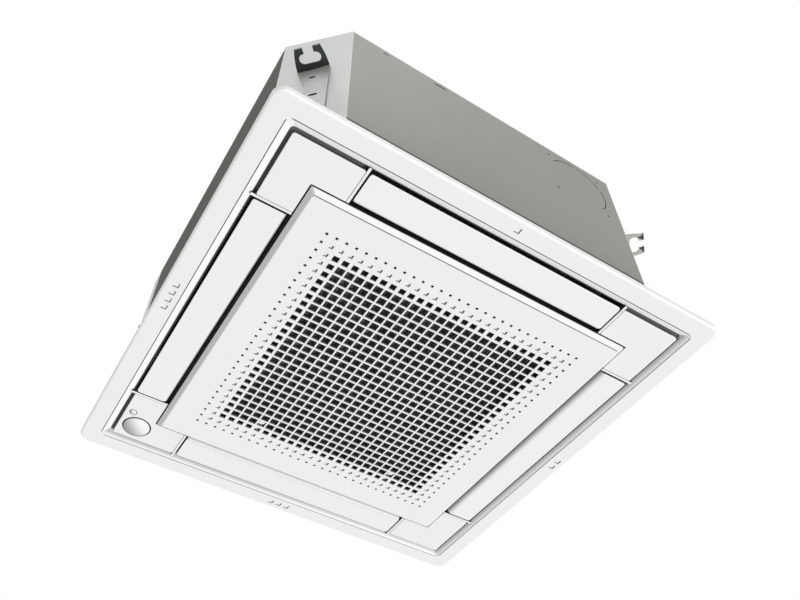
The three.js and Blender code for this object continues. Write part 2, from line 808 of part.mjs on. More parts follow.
/** Hose elbow from the pump's side to the socket that leaves through the rear wall. */
function drainSocket() {
  const z = zTop - hoseDrop;
  const end = casingHalf + pipeReach;
  const riserY = pumpY + pumpRadius + seatGap + hoseRadius;
  const socket = roundY(socketRadius, casingHalf - sheet - linerWall, end, hoseX, z)
    .subtract(roundY(socketRadius - socketWall, casingHalf, end + through, hoseX, z));
  return join(
    socket,
    roundY(hoseRadius, riserY, casingHalf - sheet, hoseX, z),
    round(hoseRadius, zPan + pumpHeight / 2, z + hoseRadius, hoseX, riserY),
  );
}

const zFloatLow = zPan - gutterDepth + floatClearance;

/** Stem with a foot for the float, a switch head, and the arm that holds it on the pump. */
function floatSwitch() {
  const head = zFloatLow + floatHeight + floatTravel + floatSpare;
  const foot = zFloatLow - stemFoot;
  const half = switchSize / 2;
  const pumpRoom = round(pumpRadius + seatGap, foot, head + 2 * switchHeight, pumpX, pumpY, pumpSides);
  return join(
    round(stemRadius, foot, head + through, floatX, floatY),
    round(stemRadius * 2, foot, zFloatLow - seatGap, floatX, floatY),
    box(floatX - half, floatX + half, floatY - half, floatY + half, head, head + switchHeight),
    box(floatX, pumpX, floatY - armHalf, floatY + armHalf, head + armRise, head + armRise + 2 * armHalf),
  ).subtract(pumpRoom);
}

function floatRing() {
  const high = zFloatLow + floatHeight;
  const bore = round(stemRadius + runGap, zFloatLow - through, high + through, floatX, floatY);
  return round(floatRadius, zFloatLow, high, floatX, floatY, pumpSides).subtract(bore);
}

/** Box on the control box's place, drawn in by inset on its four sides. */
function controlBlock(inset, z0, z1) {
  const x0 = -(partitionInner - controlInset);
  const half = controlLength / 2 - inset;
  return box(x0 + inset, x0 + controlWidth - inset, -half, half, z0, z1);
}

function controlBox() {
  return controlBlock(0, zCase - controlHeight, zCase)
    .subtract(controlBlock(controlWall, zCase - controlHeight - through, zCase - controlWall));
}

/** Lid below the control box, with a low rim that enters the box. */
function controlLid() {
  const high = zCase - controlHeight;
  return controlBlock(0, high - controlCover, high)
    .add(controlBlock(controlWall + seatGap, high - controlCover / 2, high + controlRim));
}

// ---------------------------------------------------------------- panel

function panelSeal() {
  const inner = partitionInner;
  return prism(octagon(sheet + seatGap), zSeal, zCase)
    .subtract(prism(square(inner), zSeal - through, zCase + through))
    .subtract(fourSides(outletWindow(zSeal - through, zCase + through)))
    .subtract(fourSides(screwHole(zSeal - through, zCase + through)));
}

/** White outer frame: border, slope down into the recess, recess wall, and the ribs at the flap ends. */
function panelFrame() {
  const zBack = zFace + panelWall;
  const face = ring(square(panelHalf, panelCorner), square(recessHalf), zFace, zBack);
  const rimInner = square(panelHalf - rimWall, panelCorner - rimWall);
  const rim = ring(square(panelHalf, panelCorner), rimInner, zFace, zFace + rimHeight);
  const slopeBack = ring(square(grooveHalf + panelWall), square(recessHalf), zFace, zBack + slopeDepth);
  const wall = ring(square(recessHalf + panelWall), square(recessHalf), zFace + panelWall, zSeal);
  const rib = box(ribNear, ribFar, -recessHalf - 1, -coverInner, zFace, zRib)
    .subtract(roundX(flapPinRadius + runGap, ribNear - through, ribFar + through, flapAxisY, flapAxisZ));
  const ribs = rib.add(rib.mirror([1, 0, 0]));
  const grooveOuter = square(grooveHalf + grooveWidth);
  const groove = ring(grooveOuter, square(grooveHalf), zFace - through, zFace + grooveDepth);
  return join(face, rim, slopeBack, wall)
    .subtract(frustum(grooveHalf, recessHalf, zFace, zFace + slopeDepth))
    .subtract(groove)
    .subtract(outletMarks())
    .add(fourSides(ribs));
}

/** One to four shallow squares beside each outlet. */
function outletMarks() {
  const counts = [1, 2, 3, 4];
  const marks = counts.flatMap((count, side) => Array.from({ length: count }, (_, k) => {
    const x = (k - (count - 1) / 2) * markPitch;
    const y = -(panelHalf - markInset);
    const half = markSize / 2;
    const mark = box(x - half, x + half, y - half, y + half, zFace - through, zFace + markDepth);
    return mark.rotate([0, 0, side * 90]);
  }));
  return join(...marks);
}

/** Dark carrier: corner plates, duct walls, the partition around the suction side, ledge and hinge bosses. */
function panelCore() {
  const outer = recessHalf - seatGap;
  const partitionOuter = grilleHalf + partitionSpare;
  const plate = ring(square(outer), square(partitionOuter - seatGap), zCore, zCore + coreThickness);
  const ductWall = ring(square(outer), square(outer - panelWall), zCore, zSeal);
  const partition = ring(square(partitionOuter), square(partitionInner), grilleHeight + seatGap, zSeal);
  const ledgeInner = square(partitionInner - ledgeWidth);
  const ledge = ring(square(partitionInner + 1), ledgeInner, zLedge, zLedge + panelWall);
  // The grille's front edge rises inside the partition when the grille swings down.
  const swingRoom = box(
    -partitionOuter, partitionOuter, -partitionOuter - through, hingeY + swingSpare, 0, zLedge,
  );
  return join(plate, ductWall, partition, ledge)
    .subtract(fourSides(coreCuts(outer, partitionOuter)))
    .subtract(swingRoom)
    .add(hingeHooks())
    .add(latchCatch(1))
    .add(latchCatch(-1));
}

/** What one side of the carrier leaves open: the outlet, the slots of two ribs, the motor and the screw. */
function coreCuts(outer, inner) {
  const low = zCore - through;
  const high = zCore + coreThickness + through;
  const nearRib = ribNear - seatGap;
  const window = box(-nearRib, nearRib, -(outer - panelWall), -inner, low, high);
  const ribSlot = box(nearRib, ribFar + seatGap, -outer - through, -inner, low, zRib + seatGap);
  const motorEnd = ribFar + seatGap + flapBoss + flapMotorLength + 1;
  const motorCut = box(ribFar, motorEnd, flapAxisY - flapMotorRadius - 1, -inner, low, high);
  return join(window, ribSlot, ribSlot.mirror([1, 0, 0]), motorCut, screwHole(low, high + coreThickness));
}

/** Two bosses below the ledge that hold the hinge pins. */
function hingeHooks() {
  const x0 = hingeX - hookWidth / 2;
  const x1 = hingeX + hookWidth / 2;
  const end = hingeY + hookReach;
  const boss = box(x0, x1, hingeY - hookHalf, end, hingeZ - hookHalf, hingeZ + hookHalf)
    .add(box(x0, x1, hingeY + hookNeck, end, hingeZ - hookHalf, zLedge + 1))
    .subtract(roundX(hingePinRadius + runGap, x0 - through, x1 + through, hingeY, hingeZ));
  return boss.add(boss.mirror([1, 0, 0]));
}

const latchX = latchColumn * cellPitch;
const latchRestEnd = partitionInner - ledgeWidth + latchRest;
const latchLow = frontBarDepth + backBarDepth + seatGap;

/** Plate that hangs from the ledge, with the window that a latch bolt enters. */
function latchCatch(side) {
  const x = side * latchX;
  const half = latchWidth / 2 + runGap;
  const y0 = latchRestEnd + latchBack;
  const y1 = y0 + catchThickness;
  const window = box(
    x - half, x + half, y0 - through, y1 + through,
    latchLow - runGap, latchLow + latchThickness + runGap,
  );
  return box(x - latchWidth, x + latchWidth, y0, y1, latchLow - catchFoot, zLedge + 1).subtract(window);
}

/** L-shaped outline of a corner cover, moved inwards by inset. */
function coverOutline(inset) {
  const outer = -(flapOuter - inset);
  const near = -(coverNear + inset);
  const inner = -(coverInner + inset);
  return polygon([
    [outer, outer], [near, outer], [near, inner],
    [inner, inner], [inner, near], [outer, near],
  ]);
}

/** L-shaped cover of one corner, with a set-back skirt behind its face. */
function cornerCover(withSensor) {
  const zBack = zFace + coverThickness;
  const skirtTop = zBack + coverSkirtHeight;
  const skirt = prism(coverOutline(coverSkirtInset), zBack - 0.5, skirtTop)
    .subtract(prism(coverOutline(coverSkirtInset + coverSkirtWall), zBack - through, skirtTop + through));
  // The flap motor hangs low behind one end of the cover, and the screw head behind the other.
  const motorRoom = box(
    -coverInner - motorRoomWidth, -coverInner + through,
    -coverNear - motorRoomLength, -coverNear + through, zBack, skirtTop + through,
  );
  const screwRoom = round(screwHeadRadius + screwRoomGap, zBack, skirtTop + through, -screwX, -screwY);
  const cover = prism(coverOutline(0), zFace, zBack).add(skirt.subtract(motorRoom).subtract(screwRoom));
  if (!withSensor) return cover;
  // The cover is drawn at the front left corner, so the sensor's place is turned back to it.
  const sensorHole = round(sensorRadius + sensorGap, 0, zCore, -sensorY, sensorX, wideSides);
  const receiverHole = round(receiverRadius + receiverGap, 0, zCore, -receiverY, receiverX);
  return cover.subtract(sensorHole).subtract(receiverHole);
}

/** Round lens on a short drum: its face bulges below the cover's face as a parabola. */
function lens(radius, bulge, x, y, count) {
  const steps = 3;
  const high = zCore - seatGap;
  const profile = [];
  for (let k = 0; k <= steps; k += 1) {
    const share = k / steps;
    profile.push([radius * share, zFace - bulge * (1 - share * share)]);
  }
  return turned([...profile, [radius, high], [0, high]], count).translate([x, y, 0]);
}

function panelScrew() {
  const washerTop = zCore - screwSeat;
  const headLow = washerTop - screwHeadHeight;
  return join(
    round(screwHeadRadius, headLow, washerTop, -screwX, -screwY),
    round(screwRadius, washerTop - 1, zCase + screwDepth, -screwX, -screwY, pinSides),
  );
}

// ---------------------------------------------------------------- flaps

/** Blade with a rolled inner edge, an ear at each end and the pins that turn in the panel's ribs. */
function flap() {
  const inner = -flapInner;
  const outer = -flapOuter;
  const belly = zFace + flapThickness * flapBelly;
  const back = new THREE.Shape();
  back.moveTo(outer, zFace);
  back.lineTo(inner - flapRoll, zFace);
  back.absarc(inner - flapRoll, zFace + flapRoll, flapRoll, -quarter, 0, false);
  back.absarc(inner - flapRoll, zFace + flapRoll, flapRoll - flapWall, 0, -quarter, true);
  back.quadraticCurveTo((inner + outer) / 2, belly, outer, zFace + flapThickness * flapTip);
  const blade = prism(back, -flapHalfLength, flapHalfLength).rotate([90, 0, 90]);
  const earNear = flapHalfLength - flapEarInset - flapEarWidth;
  const earFar = flapHalfLength - flapEarInset;
  const ear = box(earNear, earFar, flapAxisY - flapEarHalf, flapAxisY + flapEarHalf, zFace + 1, flapAxisZ)
    .add(roundX(flapEarRadius, earNear, earFar, flapAxisY, flapAxisZ))
    .add(roundX(flapPinRadius, earNear + 2, ribFar + 0.1, flapAxisY, flapAxisZ));
  return blade.add(ear).add(ear.mirror([1, 0, 0]));
}

/** Small geared motor outside the rib, with its shaft boss on the flap's axis. */
function flapMotor() {
  const start = ribFar + seatGap;
  const body = start + flapBoss;
  return join(
    roundX(flapBossRadius, start, body + 0.5, flapAxisY, flapAxisZ),
    roundX(flapMotorRadius, body, body + flapMotorLength, flapAxisY, flapAxisZ + flapMotorOffset, pumpSides),
  );
}

// ---------------------------------------------------------------- suction grille

/** Half width of the field of cells. */
const latticeHalf = (cellCount * cellPitch - barWidth) / 2;

/** Tray with drafted sides, the lattice in its face, seats for the filter and ears on the hinge pins. */
function suctionGrille() {
  const slant = grilleSideInset * (grilleWall / grilleDrop);
  const inner = grilleHalf - grilleWall;
  const shell = frustum(grilleFrontHalf, grilleHalf, 0, zFace).add(block(grilleHalf, zFace, grilleHeight));
  const hollow = frustum(grilleFrontHalf + slant - grilleWall, inner, grilleWall, zFace)
    .add(block(inner, zFace, grilleHeight + through));
  return shell.subtract(hollow)
    .subtract(block(latticeHalf, -through, grilleWall + through))
    .add(lattice())
    .add(filterSeats())
    .add(hingeEars());
}

/** Front bars along X and, behind and across them, back bars along Y. */
function lattice() {
  const bars = [];
  const half = barWidth / 2;
  const top = frontBarDepth + backBarDepth;
  const end = latticeHalf + barSeat;
  for (let k = 1; k < cellCount; k += 1) {
    const at = (k - cellCount / 2) * cellPitch;
    bars.push(box(-end, end, at - half, at + half, 0, frontBarDepth));
    bars.push(box(at - half, at + half, -end - 1, end + 1, frontBarDepth, top));
  }
  return join(...bars);
}

/** Four ledges on which the filter lies, and the low walls that keep it in place. */
function filterSeats() {
  const low = grilleWall - 0.5;
  const top = filterRise - seatGap;
  const half = seatLength / 2;
  const seat = box(-half, half, -filterHalf - 1, -filterHalf + seatReach, low, top)
    .add(box(-half, half, -filterHalf - 1 - seatWall, -filterHalf - 1, low, top + seatStop));
  return fourSides(seat);
}

/** Ears behind the grille's front wall that turn on the hinge pins. */
function hingeEars() {
  const near = hingeX + hookWidth / 2 + seatGap;
  const far = near + earWidth;
  const ear = box(near, far, -grilleHalf + 1, hingeY + earHalf, grilleWall - 0.5, hingeZ + earHalf)
    .subtract(roundX(hingePinRadius + runGap, near - through, far + through, hingeY, hingeZ));
  return ear.add(ear.mirror([1, 0, 0]));
}

function hingePin(side) {
  const start = hingeX - hookWidth / 2 - pinSpare;
  const end = hingeX + hookWidth / 2 + seatGap + earWidth + pinSpare;
  const pin = roundX(hingePinRadius, start, end, hingeY, hingeZ);
  return side > 0 ? pin : pin.mirror([1, 0, 0]);
}

/** Framed sheet of filter mesh with two stiffening ribs each way. */
function airFilter() {
  const inner = filterHalf - filterFrame;
  const top = filterRise + filterHeight;
  const ribTop = top - filterMesh;
  const end = inner + 1;
  const ribs = [-1, 1].flatMap((side) => {
    const low = (side * inner - filterRib) / 2;
    const high = low + filterRib;
    return [box(low, high, -end, end, filterRise, ribTop), box(-end, end, low, high, filterRise, ribTop)];
  });
  const frame = ring(square(filterHalf), square(inner), filterRise, top);
  return join(frame, block(end, filterRise, filterRise + filterMesh), ...ribs);
}

/** Sliding latch: a finger tab inside one lattice cell, and a flat bolt behind the grille's face. */
function grilleLatch(side) {
  const x = side * latchX;
  const half = latchWidth / 2;
  const tabHalf = half - 0.5;
  const start = latticeHalf - latchTabReach;
  return join(
    box(x - half, x + half, start, latchRestEnd, latchLow, latchLow + latchThickness),
    box(x - tabHalf, x + tabHalf, start, start + latchTabThickness, latchTabRise, latchLow + 1),
  );
}

// ---------------------------------------------------------------- assembly

const airConditioner = new THREE.Group();

function finish(color, roughness, metalness = 0) {
  return new THREE.MeshStandardMaterial({ color, roughness, metalness });
}

const galvanised = () => finish(0x9a9f98, 0.45, 0.8);
const whitePlastic = () => finish(0xf2f2f2, 0.45);
const darkPlastic = () => finish(0x2b2d2c, 0.7);
const blackPlastic = () => finish(0x161717, 0.6);
const foam = () => finish(0x30322f, 0.95);
const steel = () => finish(0xb9bcbd, 0.35, 0.9);
const copper = () => finish(0xb87449, 0.35, 0.9);
const greyPlastic = () => finish(0x8d9291, 0.6);
const rubber = () => finish(0x1c1c1c, 0.9);

function geometryOf(piece) {
  const mesh = piece.getMesh();
  const geometry = new THREE.BufferGeometry();
  geometry.setAttribute('position', new THREE.BufferAttribute(mesh.vertProperties, 3));
  geometry.setIndex(new THREE.BufferAttribute(mesh.triVerts, 1));
  geometry.computeVertexNormals();
  return geometry;
}

/** Adds one named sub-part, turned about the Z axis by the angle in degrees. */
function place(name, piece, material, angle = 0) {
  const mesh = new THREE.Mesh(geometryOf(piece), material);
  mesh.name = name;
  mesh.rotation.z = THREE.MathUtils.degToRad(angle);
  airConditioner.add(mesh);
}

place('casing_wall', casingWall(), galvanised());
place('top_plate', topPlate(), galvanised());
place('foam_liner', foamLiner(), foam());
place('drain_pan', drainPan(), finish(0xdcdcd8, 0.9));
place('bell_mouth', bellMouth(), greyPlastic());

place('hanger_front_left', hangerBracket(false), steel(), 225);
place('hanger_front_right', hangerBracket(true), steel(), 315);
place('hanger_rear_right', hangerBracket(false), steel(), 45);
place('hanger_rear_left', hangerBracket(true), steel(), 135);

place('fan_wheel', fanWheel(), greyPlastic());
place('motor_shaft', motorShaft(), steel());
place('fan_nut', fanNut(), steel());
place('fan_motor', fanMotor(), steel());
for (let k = 0; k < 3; k += 1) place(`motor_mount_${k + 1}`, motorMount(k), rubber());

place('heat_exchanger', heatExchanger(), finish(0xb5bbbd, 0.4, 0.9));
place('gas_pipe', join(pipe(gasPipeRadius, gasNutRadius, gasPipeX), feeders()), copper());
place('liquid_pipe', pipe(liquidPipeRadius, liquidNutRadius, liquidPipeX), copper());
place('pipe_plate', pipePlate(), galvanised());
place('drain_pump', drainPump(), greyPlastic());
place('drain_socket', drainSocket(), greyPlastic());
place('float_switch', floatSwitch(), whitePlastic());
place('float_ring', floatRing(), finish(0xe8e4d8, 0.8));
place('control_box', controlBox(), galvanised());
place('control_box_lid', controlLid(), galvanised());

place('panel_seal', panelSeal(), foam());
place('panel_frame', panelFrame(), whitePlastic());
place('panel_core', panelCore(), darkPlastic());

const sideNames = ['front', 'right', 'rear', 'left'];
sideNames.forEach((side, k) => {
  place(`flap_${side}`, flap(), whitePlastic(), k * 90);
  place(`flap_motor_${side}`, flapMotor(), blackPlastic(), k * 90);
});

const cornerNames = ['front_left', 'front_right', 'rear_right', 'rear_left'];
cornerNames.forEach((corner, k) => {
  place(`corner_cover_${corner}`, cornerCover(corner === 'rear_left'), whitePlastic(), k * 90);
  place(`panel_screw_${corner}`, panelScrew(), steel(), k * 90);
});
const clearPlastic = () => finish(0xe6e8e8, 0.25);
place('sensor_dome', lens(sensorRadius, sensorBulge, sensorX, sensorY, wideSides), clearPlastic());
place('receiver_lens', lens(receiverRadius, receiverBulge, receiverX, receiverY, sides), clearPlastic());

place('suction_grille', suctionGrille(), whitePlastic());
place('air_filter', airFilter(), finish(0x4a4d4b, 0.9));
place('grille_latch_left', grilleLatch(-1), whitePlastic());
place('grille_latch_right', grilleLatch(1), whitePlastic());
place('hinge_pin_left', hingePin(-1), steel());
place('hinge_pin_right', hingePin(1), steel());

export default airConditioner;
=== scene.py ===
"""Ceiling cassette air conditioner, dressed over its CAD frame: metres, +Z up, seen from below.

New pieces are lofts and plates. A loft is a stack of closed outlines, each with the same count of points, joined
by quads. A plate is a loft with holes through it, whose ends are triangles between its rims. Lengths are in
millimetres where no comment says otherwise. A rim is an outline with its outward normals, and a part is a pair of
points and faces.
"""

import math

import bpy
import numpy as np
from mathutils import Matrix, Vector
from mathutils.geometry import tessellate_polygon


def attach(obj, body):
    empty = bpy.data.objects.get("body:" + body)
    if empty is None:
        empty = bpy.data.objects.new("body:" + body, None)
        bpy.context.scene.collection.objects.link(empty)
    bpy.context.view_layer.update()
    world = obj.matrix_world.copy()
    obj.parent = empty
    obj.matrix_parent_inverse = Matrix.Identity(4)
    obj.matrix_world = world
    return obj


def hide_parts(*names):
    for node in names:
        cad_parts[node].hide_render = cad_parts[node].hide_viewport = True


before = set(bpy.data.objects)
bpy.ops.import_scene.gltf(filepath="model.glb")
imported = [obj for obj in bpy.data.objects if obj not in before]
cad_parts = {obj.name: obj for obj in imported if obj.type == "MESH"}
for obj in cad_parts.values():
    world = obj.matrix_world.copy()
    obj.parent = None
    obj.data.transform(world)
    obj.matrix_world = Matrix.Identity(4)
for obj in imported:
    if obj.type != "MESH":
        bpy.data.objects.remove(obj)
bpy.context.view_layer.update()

MM = 0.001

# ------------------------------------------------------------------ sizes, as in the CAD model

FACE = 5.0                  # height of the panel's face above the grille's face
PANEL_HALF = 310.0
PANEL_CORNER = 14.0
GROOVE_HALF = 284.8         # groove line between the border and the slope
SLOPE_DEPTH = 4.5
RECESS_HALF = 276.4
SEAL_LEVEL = 47.0
MARKS = (1, 2, 3, 4)        # outlet marks on the front, right, rear and left sides
MARK_PITCH = 13.0
MARK_HALF = 4.0
MARK_MIDDLE = 297.0
POCKET_FACES = 9            # of each mark: eight walls and a floor
CORNER_POINTS = 9           # of each rounded corner of the frame
FLAP_OUTER = 271.8
FLAP_INNER = 229.6
FLAP_END = 177.6            # of the blade
FLAP_HALF_LENGTH = 178.5    # with its ears
FLAP_AXIS_Y = -237.6
FLAP_AXIS_Z = 12.0
ROLL = 5.0                  # radius of the flap's rolled inner edge
RIB_NEAR = 180.0
RIB_FAR = 183.2
COVER_NEAR = 183.8
COVER_INNER = 227.1
SENSOR_X, SENSOR_Y, SENSOR_RADIUS = -247.0, 245.5, 19.0
RECEIVER_X, RECEIVER_Y = -261.5, 219.5
GRILLE_HALF = 225.3
GRILLE_FACE_HALF = 219.5
GRILLE_TOP = 14.0
HINGE_X = 150.0
CELL_PITCH = 13.0
CELL_DEPTH = 4.5
SKIN_DEPTH = 0.9            # of the white skin at the face of each cell, behind which its walls are painted in shade
FIELD_COUNT = 29            # squares along each side of the pattern
CASE_LEVEL = 51.0
CASE_TOP = 311.0
CASE_HALF = 287.5
CASE_START = CASE_HALF - 66.5
CASE_BEND = 2.2
SHEET = 1.2
DUCT_X = 152.0
DUCT_Z = CASE_TOP - 63.0
DISH_RADIUS = 84.0
BEAD_HALF = (62, 7)
LUG_LEVEL = 210.0
ROD = (CASE_HALF - 21) * math.sqrt(2)
BRACKET_PLANE = (CASE_HALF + CASE_START) / math.sqrt(2) + 0.3
BRACKET_SHEET = 2.0
BRACKET_HALF = 21.0
THROAT = 112.0
BELL_FLARE = 44.0
BELL_RIM = 176.0
BELL_LOW = CASE_LEVEL - 2.5
BELL_TOP = CASE_LEVEL + 89.0
FAN_RADIUS = 150.0
FAN_INLET = 117.5
FAN_LOW = CASE_LEVEL + 83.0
FAN_BACK = CASE_TOP - 24.0
HUB = 246.0
BLADES = 9
MOTOR_TOP = 299.8
COIL_HALF = CASE_HALF - 73.5
PIPE_END = CASE_HALF + 21
LIQUID_X, GAS_X, PIPE_Z = 200.0, 148.0, CASE_TOP - 96
DRAIN_X, DRAIN_Z = 174.0, CASE_TOP - 62

SIDES = ("front", "right", "rear", "left")
CORNERS = ("front_left", "front_right", "rear_right", "rear_left")

# ------------------------------------------------------------------ shader tools


class Signal:
    """A number that runs through Math nodes: + - * on it add the nodes."""

    def __init__(self, graph, socket):
        self.graph = graph
        self.socket = socket

    def math(self, operation, first, second):
        made = self.graph.node("ShaderNodeMath", {"operation": operation}, {0: first, 1: second})
        return Signal(self.graph, made.outputs[0])

    def __add__(self, other):
        return self.math("ADD", self, other)

    __radd__ = __add__

    def __sub__(self, other):
        return self.math("SUBTRACT", self, other)

    def __rsub__(self, other):
        return self.math("SUBTRACT", other, self)

    def __mul__(self, other):
        return self.math("MULTIPLY", self, other)

    __rmul__ = __mul__

    def over(self, other):
        return self.math("GREATER_THAN", self, other)

    def under(self, other):
        return self.math("LESS_THAN", self, other)

    def most(self, other):
        return self.math("MAXIMUM", self, other)

    def size(self):
        return self.most(self * -1)

    def share(self):
        """Kept between 0 and 1."""
        return self.math("MINIMUM", self.most(0.0), 1.0)


class Graph:
    """Node tree of a material or of the world."""

    def __init__(self, owner):
        owner.use_nodes = True
        self.owner = owner
        self.tree = owner.node_tree
        self.tree.nodes.clear()

    def node(self, kind, settings=None, inputs=None):
        made = self.tree.nodes.new(kind)
        for key, value in (settings or {}).items():
            setattr(made, key, value)
        for key, value in (inputs or {}).items():
            self.feed(made.inputs[key], value)
        return made

    def feed(self, socket, value):
        if isinstance(value, Signal):
            value = value.socket
        if isinstance(value, bpy.types.NodeSocket):
            self.tree.links.new(value, socket)
        else:
            socket.default_value = value


class Finish(Graph):
    """Material whose patterns follow the object's own coordinates."""

    def __init__(self, name):
        super().__init__(bpy.data.materials.new(name))
        self.place = self.node("ShaderNodeTexCoord").outputs["Object"]

    def axes(self):
        """The place's x, y and z, in metres."""
        return [Signal(self, out) for out in self.node("ShaderNodeSeparateXYZ", None, {0: self.place}).outputs]

    def noise(self, scale, detail=2.0, stretch=(1, 1, 1), roughness=0.5):
        """Noise between 0 and 1, stretched along the axes."""
        mapped = self.node("ShaderNodeMapping", None, {"Vector": self.place, "Scale": stretch}).outputs[0]
        made = self.node("ShaderNodeTexNoise", None, {"Vector": mapped, "Scale": scale, "Detail": detail,
                                                      "Roughness": roughness})
        return Signal(self, made.outputs["Fac"])

    def blend(self, factor, first, second):
        """Colour between first and second."""
        return self.node("ShaderNodeMix", {"data_type": "RGBA"}, {0: factor, 6: first, 7: second}).outputs[2]

    def bump(self, height, strength, distance):
        return self.node("ShaderNodeBump", None, {"Height": height, "Strength": strength,
                                                  "Distance": distance}).outputs[0]

    def done(self, **sockets):
        """Ends in one Principled shader, whose sockets are named with spaces as underscores."""
        shader = self.node("ShaderNodeBsdfPrincipled", None,
                           {key.replace("_", " "): value for key, value in sockets.items()})
        self.node("ShaderNodeOutputMaterial", None, {0: shader.outputs[0]})
        return self.owner


# ------------------------------------------------------------------ materials

PLAIN = 0.87                # value of the white mouldings
FINE_GRAIN = 1400
COOL = (0.97, 1, 1)
WARM = (1, 1, 0.94)
STREAK = (26, 3)            # scale and detail of the streaks of rolled sheet
GROOVE_OUTSIDE = 0.2835     # metres: beyond it the groove's painted shade is paler, on the right or the rear side
CELL_FADE = 260.0           # per metre: how fast the lit walls of the cells darken inwards
BEND_SHADE_END = 0.172      # metres: height at which the lug's shade on its bracket ends
BEND_SHADE_REACH = 0.026    # metres: from there up to the full shade


def grey(value, tint=(1, 1, 1)):
    return (value * tint[0], value * tint[1], value * tint[2], 1)


def scaled(colour, share):
    return tuple(channel * share for channel in colour[:3]) + (1,)


def moulded(name, colour, roughness=0.42, coat=0.0):
    """Moulded plastic: a fine sparked grain and a faint unevenness of gloss."""
    g = Finish(name)
    fine = g.noise(FINE_GRAIN)
    return g.done(Base_Color=g.blend(g.noise(9), colour, scaled(colour, 0.975)), Coat_Weight=coat,
                  Roughness=roughness + (fine - 0.5) * 0.08, Normal=g.bump(fine, 0.02, 0.0003))


def sheet_metal(name, dark, light, tint=(0.97, 1.0, 0.90), along=(1, 1, 40), roughness=0.5, metallic=0.35,
                strip=0.0, shine=0.5):
    """Galvanised sheet: rolled streaks along one way, over a broad mottle, and painted shade up to the height strip,
    where the casing's foot meets the panel.
    """
    g = Finish(name)
    streak = g.noise(*STREAK, along, 0.6)
    mix = streak * 0.45 + g.noise(5, 3) * 0.55
    metal = g.blend(mix, grey(dark, tint), grey(light, tint))
    return g.done(Base_Color=g.blend(g.axes()[2].under(strip), metal, grey(0.02)), Metallic=metallic,
                  Specular_IOR_Level=shine, Roughness=roughness + (streak - 0.5) * 0.12,
                  Normal=g.bump(streak, 0.06, 0.0004))


def foam_rubber(name, value):
    """Closed-cell foam: small dark pits."""
    g = Finish(name)
    pits = g.noise(420, 4, roughness=0.7)
    return g.done(Base_Color=g.blend(pits, grey(value * 0.6), grey(value * 1.3)), Roughness=0.95,
                  Normal=g.bump(pits, 0.5, 0.0008))


def bright_metal(name, colour):
    """Machined or drawn metal with fine marks."""
    g = Finish(name)
    marks = g.noise(120, 3, (1, 1, 12))
    return g.done(Base_Color=g.blend(marks, colour, scaled(colour, 0.82)), Metallic=1.0,
                  Roughness=0.3 + (marks - 0.5) * 0.1, Normal=g.bump(marks, 0.05, 0.0002))


def painted_groove_shade():
    """Painted shade in the groove line between two mouldings: dark on the front and left sides, paler on the rear and
    right sides.
    """
    g = Finish("joint line")
    x, y, _ = g.axes()
    outside = x.most(y).over(GROOVE_OUTSIDE)
    return g.done(Base_Color=g.blend(outside, grey(0.03, (0.9, 1, 0.95)), grey(0.33)), Roughness=0.6)


def filter_mesh():
    """Dark net behind the grille: fine weave, with paler streaks where light falls between the bars."""
    g = Finish("dark filter mesh")
    pale = ((g.noise(34, 3, (1, 2.5, 1), 0.6) - 0.42) * 3.2).share()
    return g.done(Base_Color=g.blend(pale, grey(0.035), grey(0.13, WARM)), Roughness=0.9,
                  Normal=g.bump(g.noise(700), 0.3, 0.0005))


def graded_white(name, edge, rate, pale, shade):
    """White moulding that falls into shade inwards of an edge.

    The share of shade is (edge - the greater of |x| and |y|) * rate, all in millimetres.
    """
    g = Finish(name)
    x, y, _ = g.axes()
    far = (x * 1000).size().most((y * 1000).size())
    return g.done(Base_Color=g.blend(((edge - far) * rate).share(), pale, shade), Roughness=0.42,
                  Normal=g.bump(g.noise(FINE_GRAIN), 0.02, 0.0003))


def rolled_white(name, shade, reach):
    """White that falls into shade over the last millimetres before the flap's rolled inner edge."""
    return graded_white(name, FLAP_INNER + reach, 1 / (reach - 0.8), grey(PLAIN), shade)


def lit_wall():
    """Rear walls of the lattice's cells: pale at the face and dark further in."""
    g = Finish("lit inner walls of the grille")
    deep = (g.axes()[2] * CELL_FADE).share()
    return g.done(Base_Color=g.blend(deep, grey(0.5), grey(0.03, WARM)), Roughness=0.5)


def bracket_metal():
    """Galvanised bracket that is in the shade of its lug just below the bend."""
    g = Finish("galvanised bracket")
    pale = g.blend(g.noise(*STREAK, (1, 1, 6), 0.6), grey(0.56, (0.97, 1, 0.96)), grey(0.70, (0.97, 1, 0.96)))
    shaded = ((g.axes()[2] - BEND_SHADE_END) * (1 / BEND_SHADE_REACH)).share()
    return g.done(Base_Color=g.blend(shaded, pale, grey(0.36, (0.97, 1, 0.93))), Metallic=0.3, Roughness=0.5)


def pearl_window_with_painted_reflection(x, y, radius):
    """Clouded window with a painted reflection and shade of its glossy dome: greyer towards the left and rear, and
    white towards the right and front.
    """
    g = Finish("pearl window")
    here_x, here_y, _ = g.axes()
    across = (here_x * 1000 - x) - (here_y * 1000 - y)
    white = (across * (0.6 / radius) + 0.62).share()
    return g.done(Base_Color=g.blend(white, grey(0.34, COOL), grey(0.90)), Roughness=0.25, Coat_Weight=0.3)


